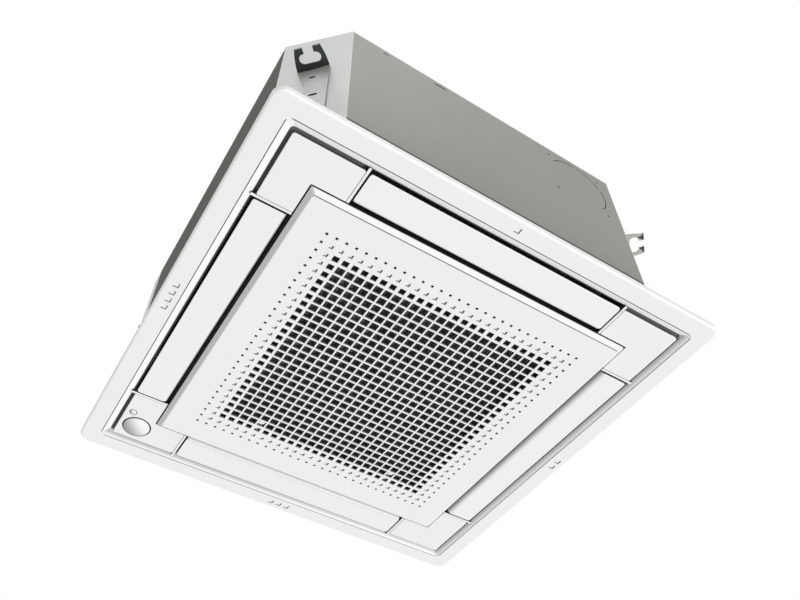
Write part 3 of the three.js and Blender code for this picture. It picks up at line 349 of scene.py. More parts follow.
WHITE = moulded("white moulded panel", grey(PLAIN))
GRILLE_WHITE = moulded("white moulded grille", grey(PLAIN), 0.45)
DARK = moulded("dark moulded carrier", grey(0.09, (0.98, 1, 0.94)), 0.6)
BLACK = moulded("black moulded motor", grey(0.02), 0.5)
GREY = moulded("grey moulded fan", grey(0.24, COOL), 0.5)
FAN_GREY = moulded("grey moulded fan wheel", grey(0.30, COOL), 0.45)
CREAM = moulded("cream moulded float", grey(0.72, (1, 0.97, 0.9)), 0.5)
PEARL = moulded("plain pearl window", grey(0.80, (0.98, 1, 1)), 0.25, coat=0.3)
# The casing is painted in shade up to 66.5 mm, along its foot where it meets the panel.
CASING = sheet_metal("galvanised casing", 0.25, 0.33, strip=0.0665)
# Painted shade: the left wall is a darker, duller copy of the casing's sheet.
CASING_SHADE = sheet_metal("galvanised casing side", 0.10, 0.16, (0.90, 1.0, 0.84), roughness=0.8,
                           metallic=0.0, shine=0.1)
# Painted sheen: the cut corners are a brighter copy of the casing's sheet, with its brushed streaks.
CHAMFER_SHEEN = sheet_metal("brushed casing corner", 0.36, 0.88, (0.98, 1.0, 0.98), (0.3, 0.3, 30))
BRACKET = bracket_metal()
LUG_SHADE = sheet_metal("shaded lug", 0.012, 0.03, (0.72, 1.0, 0.84), (1, 1, 6), metallic=0.1)
FOAM = foam_rubber("dark foam", 0.05)
BEAD_FOAM = foam_rubber("pale bead foam", 0.66)
RUBBER = foam_rubber("mount rubber", 0.03)
STEEL = bright_metal("zinc plated steel", grey(0.62))
COPPER = bright_metal("drawn copper", (0.72, 0.36, 0.20, 1))
FINS = bright_metal("aluminium fins", grey(0.6))
MESH = filter_mesh()
# Painted shade inside the grille's cells and on the front and left walls of its tray above the face.
CELL_SHADE = moulded("dark inner walls of the grille", grey(0.022, WARM), 0.5)
CELL_LIT = lit_wall()
SIDE_SHADE = moulded("shaded side of the grille", grey(0.59, (0.97, 1, 0.99)))
EDGE_SHADE = moulded("shaded edge line of the grille", grey(0.16), 0.6)
# Painted half shade and shade on the walls of small pockets; the deep shade also lies in holes, slits and around the
# sensor's windows.
HALF_SHADE = moulded("half shaded walls of small pockets", grey(0.24), 0.5)
DEEP_SHADE = moulded("shaded walls of small pockets", grey(0.03), 0.5)
GROOVE_SHADE = painted_groove_shade()
# Painted shade on the ribs above their white strip, on the flaps' ends and along the right side's recess edge.
GAP_SHADE = moulded("dark body of the ribs", grey(0.02), 0.6)
# Painted highlight: a whiter copy of the moulding, on the panel's outer edge and the front and left slopes.
RIM_HIGHLIGHT = moulded("white moulded outer edge", grey(0.97))
SLOPE_WHITE = graded_white("white moulded slope", GROOVE_HALF - 2, 0.16, grey(0.82), grey(0.36, (0.98, 1, 1)))
# Painted shade on the flaps' rolled inner edges: deep on the front and left, lighter on the right, faint on the rear.
FLAP_DEEP = rolled_white("white moulded flap beside the dark gap", grey(0.03, (0.95, 1, 0.95)), 3.6)
FLAP_FINISH = {
    "front": FLAP_DEEP,
    "right": rolled_white("white moulded flap", grey(0.42), 9.0),
    "rear": rolled_white("white moulded flap beside the rear wall", grey(0.78), 9.0),
    "left": FLAP_DEEP,
}
FLOOR = moulded("pale floor", grey(0.88), 0.8)


def named(*starts):
    """The CAD nodes whose names start with one of these."""
    return [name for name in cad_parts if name.startswith(starts)]


NODE_FINISH = {
    CASING: ["casing_wall", "top_plate", "pipe_plate", "control_box", "control_box_lid"],
    BRACKET: named("hanger_"),
    FOAM: ["foam_liner", "panel_seal"],
    BEAD_FOAM: ["drain_pan"],
    GREY: ["bell_mouth", "fan_wheel", "drain_pump", "drain_socket"],
    STEEL: ["motor_shaft", "fan_nut", "fan_motor", *named("hinge_pin_", "panel_screw_")],
    RUBBER: named("motor_mount_"),
    FINS: ["heat_exchanger"],
    COPPER: ["gas_pipe", "liquid_pipe"],
    CREAM: ["float_switch", "float_ring"],
    WHITE: ["panel_frame", *named("flap_", "corner_cover_")],
    GRILLE_WHITE: ["suction_grille", "grille_latch_left", "grille_latch_right"],
    DARK: ["panel_core"],
    BLACK: named("flap_motor_"),
    PEARL: ["sensor_dome", "receiver_lens"],
    MESH: ["air_filter"],
}


def set_finish(piece, material):
    piece.data.materials.clear()
    piece.data.materials.append(material)


for finish, node_names in NODE_FINISH.items():
    for node_name in node_names:
        set_finish(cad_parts[node_name], finish)

# ------------------------------------------------------------------ outlines and rims


def arc_corners(corners, radius, steps=6):
    """Rim through corners, each rounded by an arc of the given radius.

    The arc's middle lies on the corner's bisector, radius / sin(half angle) from the corner, and the arc runs
    between the two points where the circle touches the sides.
    """
    corners = np.asarray(corners, dtype=float)
    radii = np.broadcast_to(np.asarray(radius, dtype=float), len(corners))
    back = np.roll(corners, 1, axis=0) - corners
    ahead = np.roll(corners, -1, axis=0) - corners
    back /= np.linalg.norm(back, axis=1)[:, None]
    ahead /= np.linalg.norm(ahead, axis=1)[:, None]
    bisector = back + ahead
    bisector /= np.linalg.norm(bisector, axis=1)[:, None]
    half = np.arccos(np.clip(np.sum(back * ahead, axis=1), -1, 1)) / 2
    middle = corners + bisector * (radii / np.sin(half))[:, None]
    convex = np.sign(back[:, 0] * ahead[:, 1] - back[:, 1] * ahead[:, 0]) * -1
    start = np.arctan2(*(corners + back * (radii / np.tan(half))[:, None] - middle).T[::-1])
    sweep = convex * (np.pi - 2 * half)
    angle = start[:, None] + sweep[:, None] * np.linspace(0, 1, steps + 1)[None, :]
    direction = np.stack([np.cos(angle), np.sin(angle)], axis=-1)
    points = middle[:, None, :] + direction * radii[:, None, None]
    normals = direction * convex[:, None, None]
    return points.reshape(-1, 2), normals.reshape(-1, 2)


def with_normals(points):
    """Rim against the clock: at each point, the outward normal between its two sides."""
    points = np.asarray(points, dtype=float)
    ahead = np.roll(points, -1, axis=0) - points
    side = np.column_stack([ahead[:, 1], -ahead[:, 0]]) / np.linalg.norm(ahead, axis=1)[:, None]
    both = side + np.roll(side, 1, axis=0)
    return points, both / np.linalg.norm(both, axis=1)[:, None]


def rounded_rectangle(x, y, half_x, half_y, radius, steps=6):
    corners = [(x - half_x, y - half_y), (x + half_x, y - half_y), (x + half_x, y + half_y), (x - half_x, y + half_y)]
    return arc_corners(corners, radius, steps)


def bearing(angle):
    """Unit vectors at these angles from +X."""
    return np.column_stack([np.cos(angle), np.sin(angle)])


def circle(x, y, radius, steps=32):
    way = bearing(np.arange(steps) * math.tau / steps)
    return np.array([x, y]) + way * radius, way


def turned_rim(rim, angle):
    """Rim turned about the origin against the clock, by radians."""
    c, s = math.cos(angle), math.sin(angle)
    spin = np.array([[c, s], [-s, c]])
    return rim[0] @ spin, rim[1] @ spin


def slot(x, y, half_x, half_y, degrees=0.0):
    """Slot with round ends, turned in its plane against the clock."""
    outline, way = turned_rim(rounded_rectangle(0, 0, half_x, half_y, min(half_x, half_y) * 0.98, 5),
                              math.radians(degrees))
    return outline + [x, y], way


def lifted(outline, z):
    """Outline at one height."""
    return np.column_stack([outline, np.full(len(outline), z)])


# ------------------------------------------------------------------ parts


def loft(loops, closed=False, caps=True):
    """Stack of outlines of equal counts. Quads join each loop to the next; closed joins the last to the first."""
    loops = np.asarray(loops, dtype=float)
    layers, count = loops.shape[:2]
    number = np.arange(layers * count).reshape(layers, count)
    lower = number if closed else number[:-1]
    upper = np.roll(number, -1, axis=0) if closed else number[1:]
    quads = np.stack([lower, np.roll(lower, -1, axis=1), np.roll(upper, -1, axis=1), upper], axis=-1)
    faces = quads.reshape(-1, 4).tolist()
    if caps and not closed:
        faces += [number[0][::-1].tolist(), number[-1].tolist()]
    return loops.reshape(-1, 3), faces


def slab(rim, layers):
    """Loft of one rim drawn in by each layer's inset: layers are (inset, height) pairs from below to above."""
    outline, normals = rim
    return loft([lifted(outline - normals * inset, z) for inset, z in layers])


def merged(*parts):
    """Several parts as one."""
    points, faces, start = [], [], 0
    for part_points, part_faces in parts:
        points.append(part_points)
        faces += [[start + i for i in face] for face in part_faces]
        start += len(part_points)
    return np.concatenate(points), faces


def plate(rim, layers, holes=()):
    """Body between two flat ends, with holes through it.

    The rim is drawn in by each layer's inset, and each hole is opened by it: layers are (inset, height) pairs
    from below to above. The ends are triangles between the outer outline and the holes.
    """
    rims = [(*rim, -1)] + [(hole[::-1], way[::-1], 1) for hole, way in holes]
    walls, lower, upper = [], [], []
    start = 0
    for outline, way, sign in rims:
        wall = loft([lifted(outline + way * inset * sign, z) for inset, z in layers], caps=False)
        walls.append(wall)
        lower.append(start + np.arange(len(outline)))
        start += len(wall[0])
        upper.append(start - len(outline) + np.arange(len(outline)))
    points, faces = merged(*walls)
    for end, below in ((lower, True), (upper, False)):
        numbers = np.concatenate(end)
        flat = [[Vector((points[i][0], points[i][1], 0)) for i in ring] for ring in end]
        for triangle in tessellate_polygon(flat):
            a, b, c = (int(numbers[i]) for i in triangle)
            area = np.cross(points[b][:2] - points[a][:2], points[c][:2] - points[a][:2])
            faces.append([a, b, c] if (area < 0) == below else [a, c, b])
    return points, faces


def raised(profile, z):
    """Profile of (radius, height) pairs, moved up."""
    return [(radius, z + height) for radius, height in profile]


def turned_profile(profile, steps=48, x=0.0, y=0.0):
    """Profile of (radius, height) pairs turned about a vertical axis, from below to above on the outside.

    One that ends where it starts becomes a closed ring. Any other starts and ends on the axis.
    """
    way = bearing(np.arange(steps) * math.tau / steps)
    ring = profile[0] == profile[-1]
    loops = [lifted(np.array([x, y]) + way * max(radius, 0.01), z) for radius, z in profile[:-1 if ring else None]]
    return loft(loops, closed=ring)


def quarter_turn(part, k):
    """Part turned by k quarter turns about Z."""
    c, s = round(math.cos(k * math.pi / 2)), round(math.sin(k * math.pi / 2))
    return part[0] @ np.array([[c, s, 0], [-s, c, 0], [0, 0, 1.0]]), part[1]


def on_x(part):
    """Turns a body drawn in (y, z, x) to its place: its third axis becomes X."""
    return part[0][:, [2, 0, 1]], part[1]


def along_y(part, x, z):
    """Turns a body drawn along +Z to run along +Y, at the given place."""
    points, faces = part
    return np.column_stack([points[:, 0] + x, points[:, 2], -points[:, 1] + z]), faces


def mirrored_x(part):
    points, faces = part
    return points * np.array([-1, 1, 1]), [face[::-1] for face in faces]


def centres(part):
    """Middle of each face, as its x, y and z, and the greater of |x| and |y|."""
    points, faces = part
    x, y, z = np.array([points[face].mean(axis=0) for face in faces]).T
    return x, y, z, np.maximum(np.abs(x), np.abs(y))


# ------------------------------------------------------------------ pieces

BEND = 32                   # degrees: faces that meet at less are shaded as one curve
ROUND = 180                 # degrees: the whole piece is


def new_object(name, data):
    made = bpy.data.objects.new(name, data)
    bpy.context.scene.collection.objects.link(made)
    return made


def new_mesh(name, part):
    points, faces = part
    mesh = bpy.data.meshes.new(name)
    mesh.from_pydata((np.asarray(points, dtype=float) * MM).tolist(), [], [list(face) for face in faces])
    mesh.validate()
    mesh.update()
    return mesh


def dress(node, name, part, material, body="unit", curve=0):
    """Makes the piece that stands in for a CAD node. Its faces are flat, or curved up to an angle in degrees."""
    mesh = new_mesh(name, part)
    mesh.polygons.foreach_set("use_smooth", [curve > 0] * len(mesh.polygons))
    if curve == BEND:
        mesh.set_sharp_from_angle(angle=math.radians(curve))
    piece = new_object(name, mesh)
    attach(piece, body)
    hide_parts(node)
    set_finish(piece, material)
    return piece


def paint(piece, *layers):
    """Lays other materials over the piece's own: each layer is a material and the faces that it takes."""
    materials = piece.data.materials
    numbers = np.zeros(len(piece.data.polygons), dtype=np.int32)
    for material, taken in layers:
        if material.name not in materials:
            materials.append(material)
        numbers[taken] = materials.find(material.name)
    piece.data.polygons.foreach_set("material_index", numbers)


# ------------------------------------------------------------------ panel frame


def frame_loop(half, radius, z):
    """Rounded square whose sides also have a point at each edge of the outlet marks."""
    arc = bearing(np.linspace(-np.pi / 2, 0, CORNER_POINTS)) * radius + [half - radius, radius - half]
    rows = []
    for k, count in enumerate(MARKS):
        middle = (np.arange(count) - (count - 1) / 2) * MARK_PITCH
        edges = np.sort(np.concatenate([middle - MARK_HALF, middle + MARK_HALF]))
        side = np.concatenate([np.column_stack([edges, np.full(len(edges), -half)]), arc])
        rows.append(quarter_turn((lifted(side, z), None), k)[0])
    return np.concatenate(rows)


def frame_band():
    """White outer frame as one closed band, with the outlet marks pressed into its border.

    The section runs up the outer wall, back behind the border, up and down the recess wall, along the slope and
    the groove line, and out along the border. The marks' pockets are the last faces.
    """
    edge = 3.0
    section = [(PANEL_HALF - edge * (1 - math.sin(a)), edge * (1 - math.cos(a)), PANEL_CORNER)
               for a in np.radians([0, 20, 42, 66, 90])]
    section += [
        (PANEL_HALF, 8.7, PANEL_CORNER), (PANEL_HALF - 0.4, 9.0, PANEL_CORNER), (PANEL_HALF - 2, 9.0, 12.0),
        (PANEL_HALF - 2.5, 4.0, 11.0), (PANEL_HALF - 5, 2.5, 9.0), (GROOVE_HALF + 3, 2.5, 8.0),
        (RECESS_HALF + 2.5, 8.0, 7.0), (RECESS_HALF + 2.5, SEAL_LEVEL - FACE, 7.0),
        (RECESS_HALF, SEAL_LEVEL - FACE, 5.0), (RECESS_HALF, SLOPE_DEPTH + 0.5, 5.0),
        (RECESS_HALF + 0.5, SLOPE_DEPTH - 0.1, 5.2), (GROOVE_HALF - 0.2, 0.15, 7.0), (GROOVE_HALF, 0.9, 7.0),
        (GROOVE_HALF + 0.7, 0.9, 7.4), (GROOVE_HALF + 0.9, 0.0, 7.5),
        (MARK_MIDDLE - MARK_HALF, 0.0, 9.0), (MARK_MIDDLE + MARK_HALF, 0.0, 11.0)]
    loops = [frame_loop(half, radius, FACE + height) for half, height, radius in section]
    points, faces = loft(loops, closed=True)
    count = len(loops[0])
    inner, outer = (len(section) - 2) * count, (len(section) - 1) * count
    gone, pockets, start = set(), [], 0
    for marks in MARKS:
        for first in range(start, start + 2 * marks, 2):
            gone.add(inner + first)
            pockets.append([outer + first, outer + first + 1, inner + first + 1, inner + first])
        start += 2 * marks + CORNER_POINTS
    kept = [face for number, face in enumerate(faces) if number not in gone]
    rows, total = [points], len(points)
    for corners in pockets:
        rim = points[corners]
        middle = rim.mean(axis=0)
        rows += [middle + (rim - middle) * share + [0, 0, deep] for share, deep in ((0.86, 0.15), (0.72, 0.9))]
        stack = [corners, list(range(total, total + 4)), list(range(total + 4, total + 8))]
        total += 8
        for lower, upper in zip(stack[:-1], stack[1:]):
            kept += [[lower[c], upper[c], upper[(c + 1) % 4], lower[(c + 1) % 4]] for c in range(4)]
        kept.append(stack[2][::-1])
    return np.concatenate(rows), kept


def end_rib():
    """Rib that carries a flap's pin, with its bore, and the white strip along the rib's lower edge."""
    def across(low, high, holes=()):
        rim = arc_corners([(-RECESS_HALF - 1, low), (-COVER_INNER, low), (-COVER_INNER, high),
                           (-RECESS_HALF - 1, high)], 0.25, 3)
        return plate(rim, [(0.2, RIB_NEAR), (0, RIB_NEAR + 0.2), (0, RIB_FAR - 0.2), (0.2, RIB_FAR)], holes)
    strip = across(FACE + 0.2, FACE + 1.0)
    body = across(FACE + 1.0, 20.0, [circle(FLAP_AXIS_Y, FLAP_AXIS_Z, 2.9, 24)])
    return on_x(merged(strip, body))


def add_frame():
    rib, band = end_rib(), frame_band()
    part = merged(band, *[quarter_turn(side, k) for k in range(4) for side in (rib, mirrored_x(rib))])
    piece = dress("panel_frame", "panel_frame_moulding", part, WHITE)
    x, y, z, far = centres(part)
    in_band = np.arange(len(part[1])) < len(band[1])
    in_groove = (z < FACE + 1.2) & (z > FACE + 0.2) & (far > GROOVE_HALF - 0.6) & (far < GROOVE_HALF + 1.2)
    slope = (far > RECESS_HALF + 0.4) & (far < GROOVE_HALF - 0.1) & (z < FACE + SLOPE_DEPTH)
    shaded_recess_edge = (x > RECESS_HALF + 0.1) & (far < RECESS_HALF + 0.4) & (z < FACE + 6)
    pockets = np.arange(len(band[1]) - POCKET_FACES * sum(MARKS), len(band[1])).reshape(-1, POCKET_FACES)
    walls, floor = pockets[:, :-1], pockets[:, -1:]
    right, rear = x[walls] - x[floor], y[walls] - y[floor]
    # Painted shade in the groove, on the ribs above their strip and along the right side's recess edge; a painted
    # highlight on the outer edge and the front and left slopes, while the right and rear slopes shade inwards; the
    # pockets' right walls in painted shade and their rear walls in painted half shade.
    paint(piece, (GROOVE_SHADE, in_groove), (GAP_SHADE, ~in_band & (z > FACE + 1.0)),
          (RIM_HIGHLIGHT, in_band & (far > PANEL_HALF - 1.6)), (RIM_HIGHLIGHT, slope),
          (SLOPE_WHITE, slope & (np.maximum(x, y) > RECESS_HALF)), (GAP_SHADE, shaded_recess_edge),
          (DEEP_SHADE, walls[(right > 0) & (right > np.abs(rear))]),
          (HALF_SHADE, walls[(rear > 0) & (rear > np.abs(right))]))


# ------------------------------------------------------------------ flaps and corner covers


def flap_section():
    """Section of the blade in (y, z), against the clock: thin outer edge, flat face and rolled inner edge."""
    bend = np.radians(np.linspace(0, 82, 9))
    start = -(FLAP_INNER + ROLL)
    wall = 2.2
    lower = [(-FLAP_OUTER, FACE + 1.1), (-FLAP_OUTER + 0.15, FACE + 0.5), (-FLAP_OUTER + 0.45, FACE + 0.13),
             (-FLAP_OUTER + 0.95, FACE), (-FLAP_OUTER + 8, FACE)]
    roll = [(start + ROLL * math.sin(a), FACE + ROLL * (1 - math.cos(a))) for a in bend]
    inside = [(start + (ROLL - wall) * math.sin(a), FACE + ROLL - (ROLL - wall) * math.cos(a)) for a in bend[::-1]]
    share = np.linspace(0, 1, 8)[1:-1]
    back = np.column_stack([start + (-FLAP_OUTER + 2 - start) * share, FACE + wall + 1.5 * np.sin(np.pi * share)])
    edge = [(-FLAP_OUTER + 0.6, FACE + 2.1), (-FLAP_OUTER + 0.1, FACE + 1.7)]
    return np.array(lower + roll + inside + back.tolist() + edge)


def flap_blade():
    """The section moved along X. Towards each end it is drawn in, so that the face's corners are rounded.

    At the angle a of the corner's arc, the station lies radius * (1 - sin a) inside the end, and the section's
    half width is less by radius * (1 - cos a).
    """
    section = flap_section()
    middle = -(FLAP_OUTER + FLAP_INNER) / 2
    half = (FLAP_OUTER - FLAP_INNER) / 2
    radius = 3.2
    ends = [(radius * (1 - math.sin(a)), radius * (1 - math.cos(a)), 0.0) for a in np.radians(np.linspace(0, 80, 7))]
    ends += [(0.0, radius, 0.45)]
    stations = [(-FLAP_END + inside, inset, soft) for inside, inset, soft in ends[::-1]]
    stations += [(FLAP_END - inside, inset, soft) for inside, inset, soft in ends]
    loops = []
    for x, inset, soft in stations:
        y = middle + (section[:, 0] - middle) * (half - inset) / half
        z = section[:, 1] + soft * (FACE + 1.3 - section[:, 1]) / 1.6
        loops.append(np.column_stack([y, z, np.full(len(y), x)]))
    return on_x(loft(loops))


def flap_body():
    """Blade with its ears and pins."""
    ear_rim = arc_corners([(FLAP_AXIS_Y - 4, FACE + 1.4), (FLAP_AXIS_Y + 2.5, FACE + 1.4),
                           (FLAP_AXIS_Y + 4, FLAP_AXIS_Z + 4.1), (FLAP_AXIS_Y - 4, FLAP_AXIS_Z + 4.1)],
                          [0.3, 0.3, 3.4, 3.4], 8)
    far = FLAP_HALF_LENGTH - 2
    ear = on_x(plate(ear_rim, [(0.3, far - 4), (0, far - 3.7), (0, far - 0.3), (0.3, far)]))
    pin = on_x(plate(circle(FLAP_AXIS_Y, FLAP_AXIS_Z, 2.5, 24), [(0, far - 1), (0, RIB_FAR - 0.4), (0.4, RIB_FAR)]))
    return merged(flap_blade(), ear, pin, mirrored_x(ear), mirrored_x(pin))


def add_flaps():
    for k, side in enumerate(SIDES):
        part = quarter_turn(flap_body(), k)
        piece = dress(f"flap_{side}", f"{side}_flap_moulding", part, FLAP_FINISH[side], f"flap_{side}")
        x, y, z, _ = centres(part)
        ends = np.minimum(np.abs(x), np.abs(y)) > FLAP_END - 0.5
        # Painted shade on each flap's ends, in the gaps beside the ribs.
        paint(piece, (GAP_SHADE, ends & (z > FACE + 0.35)))


def cover_body(with_sensor):
    """L-shaped cover with thin rounded edges, a set-back skirt and, at one corner, the sensor's two holes."""
    corner, near, inner = -FLAP_OUTER, -COVER_NEAR, -COVER_INNER
    rim = arc_corners([(corner, corner), (near, corner), (near, inner), (inner, inner), (inner, near),
                       (corner, near)], [3.5, 2.0, 1.2, 1.6, 1.2, 2.0], 6)
    holes = [circle(-SENSOR_Y, SENSOR_X, SENSOR_RADIUS + 0.9, 64), circle(-RECEIVER_Y, RECEIVER_X, 5.4, 40)]
    layers = [(0.7, FACE), (0.25, FACE + 0.12), (0, FACE + 0.5), (0, FACE + 2.3), (0.3, FACE + 2.5)]
    return plate(rim, layers, holes if with_sensor else ())


def add_covers():
    for k, corner in enumerate(CORNERS):
        part = quarter_turn(cover_body(corner == "rear_left"), k)
        dress(f"corner_cover_{corner}", f"{corner}_cover", part, WHITE)


def add_sensor():
    """Dome on its drum, with a narrow step around it, and the small receiver's lens."""
    radius = SENSOR_RADIUS
    dome = [(radius * s, FACE - 0.4 - 2.4 * (1 - s * s)) for s in np.linspace(0, 0.9, 14)]
    dome += [(radius * 0.945, FACE - 0.2), (radius * 0.955, FACE + 0.5), (radius * 0.985, FACE + 0.5),
             (radius, FACE + 0.3), (radius, 12.7), (0, 12.7)]
    lens = [(5 * s, FACE - 0.8 * (1 - s * s)) for s in np.linspace(0, 0.86, 7)]
    lens += [(4.5, FACE + 0.1), (4.6, FACE + 0.5), (5, FACE + 0.5), (5, 12.7), (0, 12.7)]
    for name, node, profile, steps, at_x, at_y, window in (
            ("sensor_window", "sensor_dome", dome, 96, SENSOR_X, SENSOR_Y, radius * 0.94),
            ("receiver_window", "receiver_lens", lens, 40, RECEIVER_X, RECEIVER_Y, 4.4)):
        part = turned_profile(profile, steps, at_x, at_y)
        piece = dress(node, name, part, pearl_window_with_painted_reflection(at_x, at_y, window), curve=ROUND)
        x, y, _, _ = centres(part)
        # Painted shade on the step and drum around each window.
        paint(piece, (DEEP_SHADE, np.hypot(x - at_x, y - at_y) > window))


# ------------------------------------------------------------------ suction grille

OPEN_REACH = 11             # rings of squares counted from the middle: through this one the cells are full
CELL_KINDS = (              # up to which ring, half width, width of the slanted edge, depth: None goes through
    (OPEN_REACH, 5.35, 0.25, None),
    (OPEN_REACH + 1, 4.1, 0.25, None),
    (OPEN_REACH + 2, 2.5, 0.4, 0.9),
    (FIELD_COUNT, 1.75, 0.15, None),
)
FLAT, INNER, LIT, POCKET_SHADED, POCKET_PARTLY_SHADED = range(5)   # tones of the pattern's faces: plain, inner walls in painted shade, rear walls in painted light, pocket walls in painted shade and half shade


def grille_field():
    """The pattern's plate, with the tone of each face: one patch for each square, all on one grid of corners.

    Each patch is the flat around the square, a small slanted edge, the walls and the flat behind. A shallow
    square has a floor in place of its walls. Walls come in the order front, right, rear, left.
    """
    count = FIELD_COUNT + 1
    at = (np.arange(count) - count / 2 + 0.5) * CELL_PITCH
    grid_x, grid_y = np.meshgrid(at, at, indexing="ij")
    front = np.column_stack([grid_x.ravel(), grid_y.ravel(), np.zeros(count * count)])
    points = [front, front + [0, 0, CELL_DEPTH]]
    faces, tones = [], []
    total = 2 * count * count
    unit = np.array([(-1, -1), (1, -1), (1, 1), (-1, 1)], dtype=float)

    def ring_of_faces(lower, upper, ring_tones):
        faces.extend([lower[c], lower[(c + 1) % 4], upper[(c + 1) % 4], upper[c]] for c in range(4))
        tones.extend(ring_tones)

    for i in range(FIELD_COUNT):
        for j in range(FIELD_COUNT):
            far = max(abs(i - FIELD_COUNT // 2), abs(j - FIELD_COUNT // 2))
            size, edge, depth = next(kind for reach, *kind in CELL_KINDS if far <= reach)
            through = depth is None
            deep, skin, draft = (CELL_DEPTH, SKIN_DEPTH, 0.1) if through else (depth, depth * 0.8, 1.4)
            middle = np.array([at[i], at[j]]) + CELL_PITCH / 2
            points += [lifted(middle + unit * reach, z) for reach, z in (
                (size + edge, 0.0), (size, edge * 0.8), (size - draft / 2, skin), (size - draft, deep))]
            outer = [i * count + j, (i + 1) * count + j, (i + 1) * count + j + 1, i * count + j + 1]
            behind = [n + count * count for n in outer]
            edge_ring, face_ring, skin_ring, last = ([total + 4 * r + c for c in range(4)] for r in range(4))
            total += 16
            upper_tones = [FLAT] * 4 if through else [FLAT, POCKET_SHADED, POCKET_PARTLY_SHADED, FLAT]
            ring_of_faces(outer, edge_ring, [FLAT] * 4)
            ring_of_faces(edge_ring, face_ring, upper_tones)
            ring_of_faces(face_ring, skin_ring, upper_tones)
            ring_of_faces(skin_ring, last, [INNER, INNER, LIT, INNER] if through else upper_tones)
            if through:
                ring_of_faces(last, behind, [INNER] * 4)
            else:
                faces += [last, behind]
                tones += [FLAT, INNER]
    for line in (np.arange(count) * count, np.arange(count) + (count - 1) * count,
                 np.arange(count)[::-1] * count + count - 1, np.arange(count)[::-1]):
        for a, b in zip(line[:-1].tolist(), line[1:].tolist()):
            faces.append([a, b, b + count * count, a + count * count])
            tones.append(FLAT)
    return (np.concatenate(points), faces), tones


def grille_tray():
    """Border, drafted sides and low walls around the field: a closed band of rounded squares."""
    field = FIELD_COUNT * CELL_PITCH / 2
    section = [
        (GRILLE_FACE_HALF - 0.9, 0.0, 1.6), (GRILLE_FACE_HALF - 0.25, 0.2, 2.2), (GRILLE_FACE_HALF + 0.25, 0.7, 2.6),
        (GRILLE_HALF - 0.3, 4.7, 3.0), (GRILLE_HALF, 5.4, 3.0), (GRILLE_HALF, GRILLE_TOP - 0.5, 3.0),
        (GRILLE_HALF - 0.5, GRILLE_TOP, 2.6), (GRILLE_HALF - 2.0, GRILLE_TOP, 1.2),
        (GRILLE_HALF - 2.5, GRILLE_TOP - 0.5, 0.8), (GRILLE_HALF - 2.5, 5.6, 0.8), (GRILLE_FACE_HALF - 3, 2.5, 0.8),
        (field + 2, 2.5, 0.4), (field, CELL_DEPTH, 0.2), (field, 0.0, 0.2),
    ]
    return loft([lifted(rounded_rectangle(0, 0, half, half, radius, 8)[0], z) for half, z, radius in section],
                closed=True)


def hinge_ear():
    """Ear with the bore for the hinge pin."""
    y, z = -(GRILLE_HALF - 9), 10.0
    rim = arc_corners([(y - 7.2, 7), (y - 1, 2.6), (y + 3.6, 2.3), (y + 3.6, 13.6), (y - 7.2, 13.6)],
                      [0.2, 0.2, 0.2, 3.0, 1.0], 6)
    near = HINGE_X + 3.3
    return on_x(plate(rim, [(0.3, near), (0, near + 0.3), (0, near + 3.7), (0.3, near + 4)],
                      [circle(y, z, 2.6, 24)]))


def filter_seats():
    """Three ledges with stops on each side, which carry the filter's frame."""
    y = -(GRILLE_HALF - 33.3)
    for k in range(4):
        for x in (-40, 0, 40):
            for dy, half_y, radius, top in ((2, 3, 0.6, 7.0), (-2, 1, 0.4, 11.0)):
                rim = rounded_rectangle(x, y + dy, 14, half_y, radius, 3)
                yield quarter_turn(slab(rim, [(0, 2.3), (0, top), (0.3, top + 0.3)]), k)


def add_grille():
    (field, tones), ear = grille_field(), hinge_ear()
    part = merged(field, grille_tray(), ear, mirrored_x(ear), *filter_seats())
    piece = dress("suction_grille", "grille_moulding", part, GRILLE_WHITE, "grille")
    x, y, z, far = centres(part)
    outside = np.arange(len(z)) >= len(tones)
    tone = np.concatenate([tones, np.zeros(outside.sum(), dtype=int)])
    drafted = outside & (far > GRILLE_FACE_HALF + 0.2) & (z > 0.6) & (z < 5.4)
    wall = outside & (np.minimum(x, y) < 0.1 - GRILLE_HALF) & (z > 5.4)
    front_edge = (y < -0.98 * far) & (far > GRILLE_FACE_HALF - 0.8) & (z < 0.6)
    # Painted shade on the cells' inner walls, in the pockets, on the tray's front and left walls above the face, on the
    # left drafted side and along the front edge; painted light on the cells' rear walls.
    paint(piece, (CELL_SHADE, tone == INNER), (CELL_LIT, tone == LIT), (DEEP_SHADE, tone == POCKET_SHADED),
          (HALF_SHADE, tone == POCKET_PARTLY_SHADED), (CELL_SHADE, wall), (SIDE_SHADE, drafted & (x < -0.98 * far)),
          (EDGE_SHADE, front_edge))


# ------------------------------------------------------------------ casing


def case_rim():
    """Square with its corners cut off at 45 degrees and a small bend radius at each of the eight edges."""
    half, start = CASE_HALF, CASE_START
    corners = [(-start, -half), (start, -half), (half, -start), (half, start),
               (start, half), (-start, half), (-half, start), (-half, -start)]
    return arc_corners(corners, CASE_BEND, 5)


def flat_wall(holes):
    """Sheet of the front wall between its two bends, with holes, standing in the XZ plane and facing -Y."""
    width = CASE_START - CASE_BEND / math.tan(math.radians(67.5))
    high = CASE_TOP - SHEET
    outline = np.array([(-width, CASE_LEVEL), (width, CASE_LEVEL), (width, high), (-width, high)])
    points, faces = plate((outline, np.zeros((4, 2))), [(0, -CASE_HALF), (0, SHEET - CASE_HALF)], holes)
    return points[:, [0, 2, 1]], [face[::-1] for face in faces]


def pipe_holes():
    """Holes of the rear wall and of its pipe plate, seen from the rear: gas, liquid and drain."""
    return [circle(-GAS_X, PIPE_Z, 6.8, 32), circle(-LIQUID_X, PIPE_Z, 3.7, 24), circle(-DRAIN_X, DRAIN_Z, 13.5, 40)]


